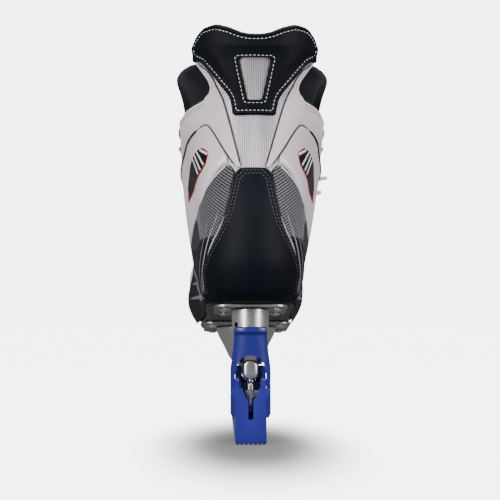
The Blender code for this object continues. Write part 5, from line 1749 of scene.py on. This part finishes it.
def plate(name, width, length, station, node_name):
    """A pressed plate under the pitched sole, dished inside its rolled rim."""
    half, reach = width / 2, length / 2
    corners = []
    for turn, (sx, sy) in enumerate(((1, 1), (-1, 1), (-1, -1), (1, -1))):
        middle = (sx * (half - PLATE_CORNER), sy * (reach - PLATE_CORNER))
        corners += arc(middle, PLATE_CORNER, 90 * turn, 90 * turn + 90, 12)
    outline = [(x, y, PLATE_TOP) for x, y in corners]
    piece = mesh_piece(name, outline, [tuple(range(len(outline)))])
    bpy.ops.object.mode_set(mode="EDIT")
    bpy.ops.mesh.select_all(action="SELECT")
    bpy.ops.mesh.extrude_region_move(TRANSFORM_OT_translate={"value": (0, 0, -PLATE_THICKNESS)})
    bpy.ops.mesh.inset(thickness=PLATE_RIM)
    bpy.ops.transform.translate(value=(0, 0, PLATE_DISH))
    bpy.ops.mesh.select_all(action="SELECT")
    bpy.ops.mesh.normals_make_consistent(inside=False)
    bpy.ops.object.mode_set(mode="OBJECT")
    step = piece.modifiers.new("roll", "BEVEL")
    step.width, step.segments, step.limit_method = PLATE_EDGE, 4, "ANGLE"
    step.angle_limit = math.radians(25)
    bpy.ops.object.modifier_apply(modifier=step.name)
    bpy.ops.object.shade_smooth_by_angle(angle=math.radians(35))
    piece.data.transform(sole_matrix(0, station))
    return fit(piece, "skate", "plated_steel", SHADED_PLATE_STEEL, node_name)


HEEL_PLATE = (53 * mm, 62 * mm, -93 * mm)
SOLE_PLATE = (72 * mm, 84 * mm, SOLE_CUP_STATION)
plate("heel_pressing", *HEEL_PLATE, "heel_plate")
plate("sole_pressing", *SOLE_PLATE, "sole_plate")

# ---------------------------------------------------------------- rivets
# Four plated steel rivets hold each plate. They go up through the outsole and board and are
# headed over inside; their domed heads show below the plates.
RIVET_EDGE = 7.5 * mm
RIVET_SHANK, RIVET_TOP = 2 * mm, 8.9 * mm
HEAD_RADIUS, HEAD_RISE, HEAD_FOOT = 3.8 * mm, 1.5 * mm, -3.2 * mm
RIVET_PROFILE = [(0, RIVET_TOP), (3.2 * mm, RIVET_TOP), (3.3 * mm, RIVET_TOP - 1 * mm)]
RIVET_PROFILE += [(RIVET_SHANK, RIVET_TOP - 1.1 * mm), (RIVET_SHANK, HEAD_FOOT + 0.1 * mm)]
for turn in np.linspace(0, math.pi / 2, 9):
    RIVET_PROFILE.append((HEAD_RADIUS * math.cos(turn), HEAD_FOOT - HEAD_RISE * math.sin(turn)))
for plate_name, (width, length, station) in (("heel", HEEL_PLATE), ("sole", SOLE_PLATE)):
    for number, (sx, sy) in enumerate(((1, 1), (-1, 1), (-1, -1), (1, -1))):
        rivet = turned(f"{plate_name}_pin_{number + 1}", RIVET_PROFILE, 32, closed_profile=False)
        spot = (sx * (width / 2 - RIVET_EDGE), station + sy * (length / 2 - 2 * RIVET_EDGE))
        rivet.data.transform(sole_matrix(*spot))
        fit(rivet, "skate", "plated_steel", CUP_STEEL, f"{plate_name}_rivet_{number + 1}")

# ---------------------------------------------------------------- blade guard
# The guard is one blue plastic moulding slipped over the blade: a channel on lengthwise ribs,
# with an eared block at its heel, slotted for the blade, two cheeks with pivot studs, and a
# stepped cradle, one half beside each side of the blade, that follows the tube's end from below.
GUARD_PLASTIC = moulded_finish(
    "guard_plastic", (0.011, 0.0125, 0.15), (0.017, 0.020, 0.22), (0.22, 0.34), 1400, 0.04 * mm
)
guard_moulding = copied("guard_body", "guard_moulding", 0.55 * mm)
CRADLE_STATION, CRADLE_LENGTH, CRADLE_HALF = -97.5 * mm, 3 * mm, 10.4 * mm
CRADLE_STEPS = (
    (1.9, 38, 45.1), (3, 44, 45.6), (4, 44, 46.3), (4.7, 45, 47), (5.2, 45, 47.6),
    (5.7, 46, 48.6), (6, 46, 49.4), (6.3, 47, 56.2),
)
cradle = []
for side in (1, -1):
    for near, low, high in CRADLE_STEPS:
        near, low, high = near * mm, low * mm, high * mm
        bpy.ops.object.select_all(action="DESELECT")
        bpy.ops.mesh.primitive_cube_add(
            size=1,
            location=(side * (near + CRADLE_HALF) / 2, CRADLE_STATION, (low + high) / 2),
            scale=(CRADLE_HALF - near, CRADLE_LENGTH, high - low),
        )
        cradle.append(bpy.context.object)
guard_moulding = joined([guard_moulding] + cradle, "guard_moulding")
fit(guard_moulding, "guard", "blue_plastic", GUARD_PLASTIC, "guard_body")

# ---------------------------------------------------------------- heel latch
# A curved blue hood that swings on the guard's studs and snaps against the heel cup, with a
# thumb lip along its top and an arch that clears the end of the tube.
latch_hood = copied("guard_latch", "latch_hood", 0.6 * mm, flat=1, angle=30)
fit(latch_hood, "latch", "blue_plastic", GUARD_PLASTIC, "guard_latch")

# ---------------------------------------------------------------- floor, lights and camera
# A plain pale floor that glows, with a painted soft shadow round the guard's heel, a white room
# and large soft lights, seen from behind and a little below the middle of the boot.
WHITE_GLOW, SHADOW_GLOW, ROOM_LIGHT = 5.5, 0.14, 0.22
SHADOW_STATION, SHADOW_SHARPNESS = -0.12, (11, 3.0)
FLOOR, tree, shader, coords = new_finish("pale_floor", Roughness=0.9)
shader.inputs["Base Color"].default_value = (0.05, 0.05, 0.05, 1)
shader.inputs["Emission Color"].default_value = (1, 1, 1, 1)
# The floor's glow is turned down towards the guard's heel: a painted shadow, not cast by the lights.
from_heel = node(
    tree, "Mapping",
    {
        "Vector": coords,
        "Location": (0, -SHADOW_STATION * SHADOW_SHARPNESS[1], 0),
        "Scale": (*SHADOW_SHARPNESS, 0),
    },
)
reach = node(tree, "VectorMath", {0: from_heel.outputs[0]}, operation="LENGTH").outputs["Value"]
shadow_fade = node(
    tree, "MapRange", {"Value": reach, "From Min": 0.15, "From Max": 1.0},
    interpolation_type="SMOOTHSTEP",
).outputs[0]
shadow_fade = node(tree, "Math", {0: shadow_fade, 1: 1.7}, operation="POWER").outputs[0]
tree.links.new(mapped(tree, shadow_fade, SHADOW_GLOW, WHITE_GLOW), shader.inputs["Emission Strength"])
bpy.ops.object.select_all(action="DESELECT")
bpy.ops.mesh.primitive_plane_add(size=60, location=(0, 0, 0))
floor = joined([bpy.context.object], "floor")
floor.data.materials.append(FLOOR)
floor.visible_diffuse = floor.visible_glossy = False

world = bpy.data.worlds.new("white_room")
bpy.context.scene.world = world
world.use_nodes = True
room = world.node_tree
seen = node(room, "LightPath").outputs["Is Camera Ray"]
room_light = mapped(room, seen, ROOM_LIGHT, WHITE_GLOW)
room.links.new(room_light, room.nodes["Background"].inputs["Strength"])
room.nodes["Background"].inputs["Color"].default_value = (0.98, 0.985, 1.0, 1)


def soft_light(name, place_at, aim, size, watts):
    """A soft box standing at a place and turned to aim at another."""
    lamp = bpy.data.lights.new(name, "AREA")
    lamp.shape, lamp.size, lamp.size_y, lamp.energy = "RECTANGLE", *size, watts
    holder = bpy.data.objects.new(name, lamp)
    bpy.context.scene.collection.objects.link(holder)
    holder.location = place_at
    holder.rotation_euler = (Vector(aim) - Vector(place_at)).to_track_quat("-Z", "Y").to_euler()


soft_light("left_box", (-0.75, -0.95, 0.45), (0, -0.05, 0.17), (0.35, 0.8), 15)
soft_light("right_box", (0.85, -0.75, 0.45), (0, -0.05, 0.17), (0.3, 0.8), 11)
soft_light("front_box", (0.1, 1.4, 0.7), (0, 0, 0.2), (0.9, 0.6), 14)
overhead = bpy.data.lights.new("overhead", "SUN")
overhead.energy, overhead.angle = 6.0, math.radians(75)
overhead_holder = bpy.data.objects.new("overhead", overhead)
bpy.context.scene.collection.objects.link(overhead_holder)

camera = bpy.data.objects.new("camera", bpy.data.cameras.new("camera"))
bpy.context.scene.collection.objects.link(camera)
bpy.context.scene.camera = camera
camera.data.sensor_width, camera.data.lens = 36, 101.9
camera.location = (-0.024, -1.140, 0.090)
camera.rotation_euler = (math.radians(90 + 2.8), 0, math.radians(-1.31))
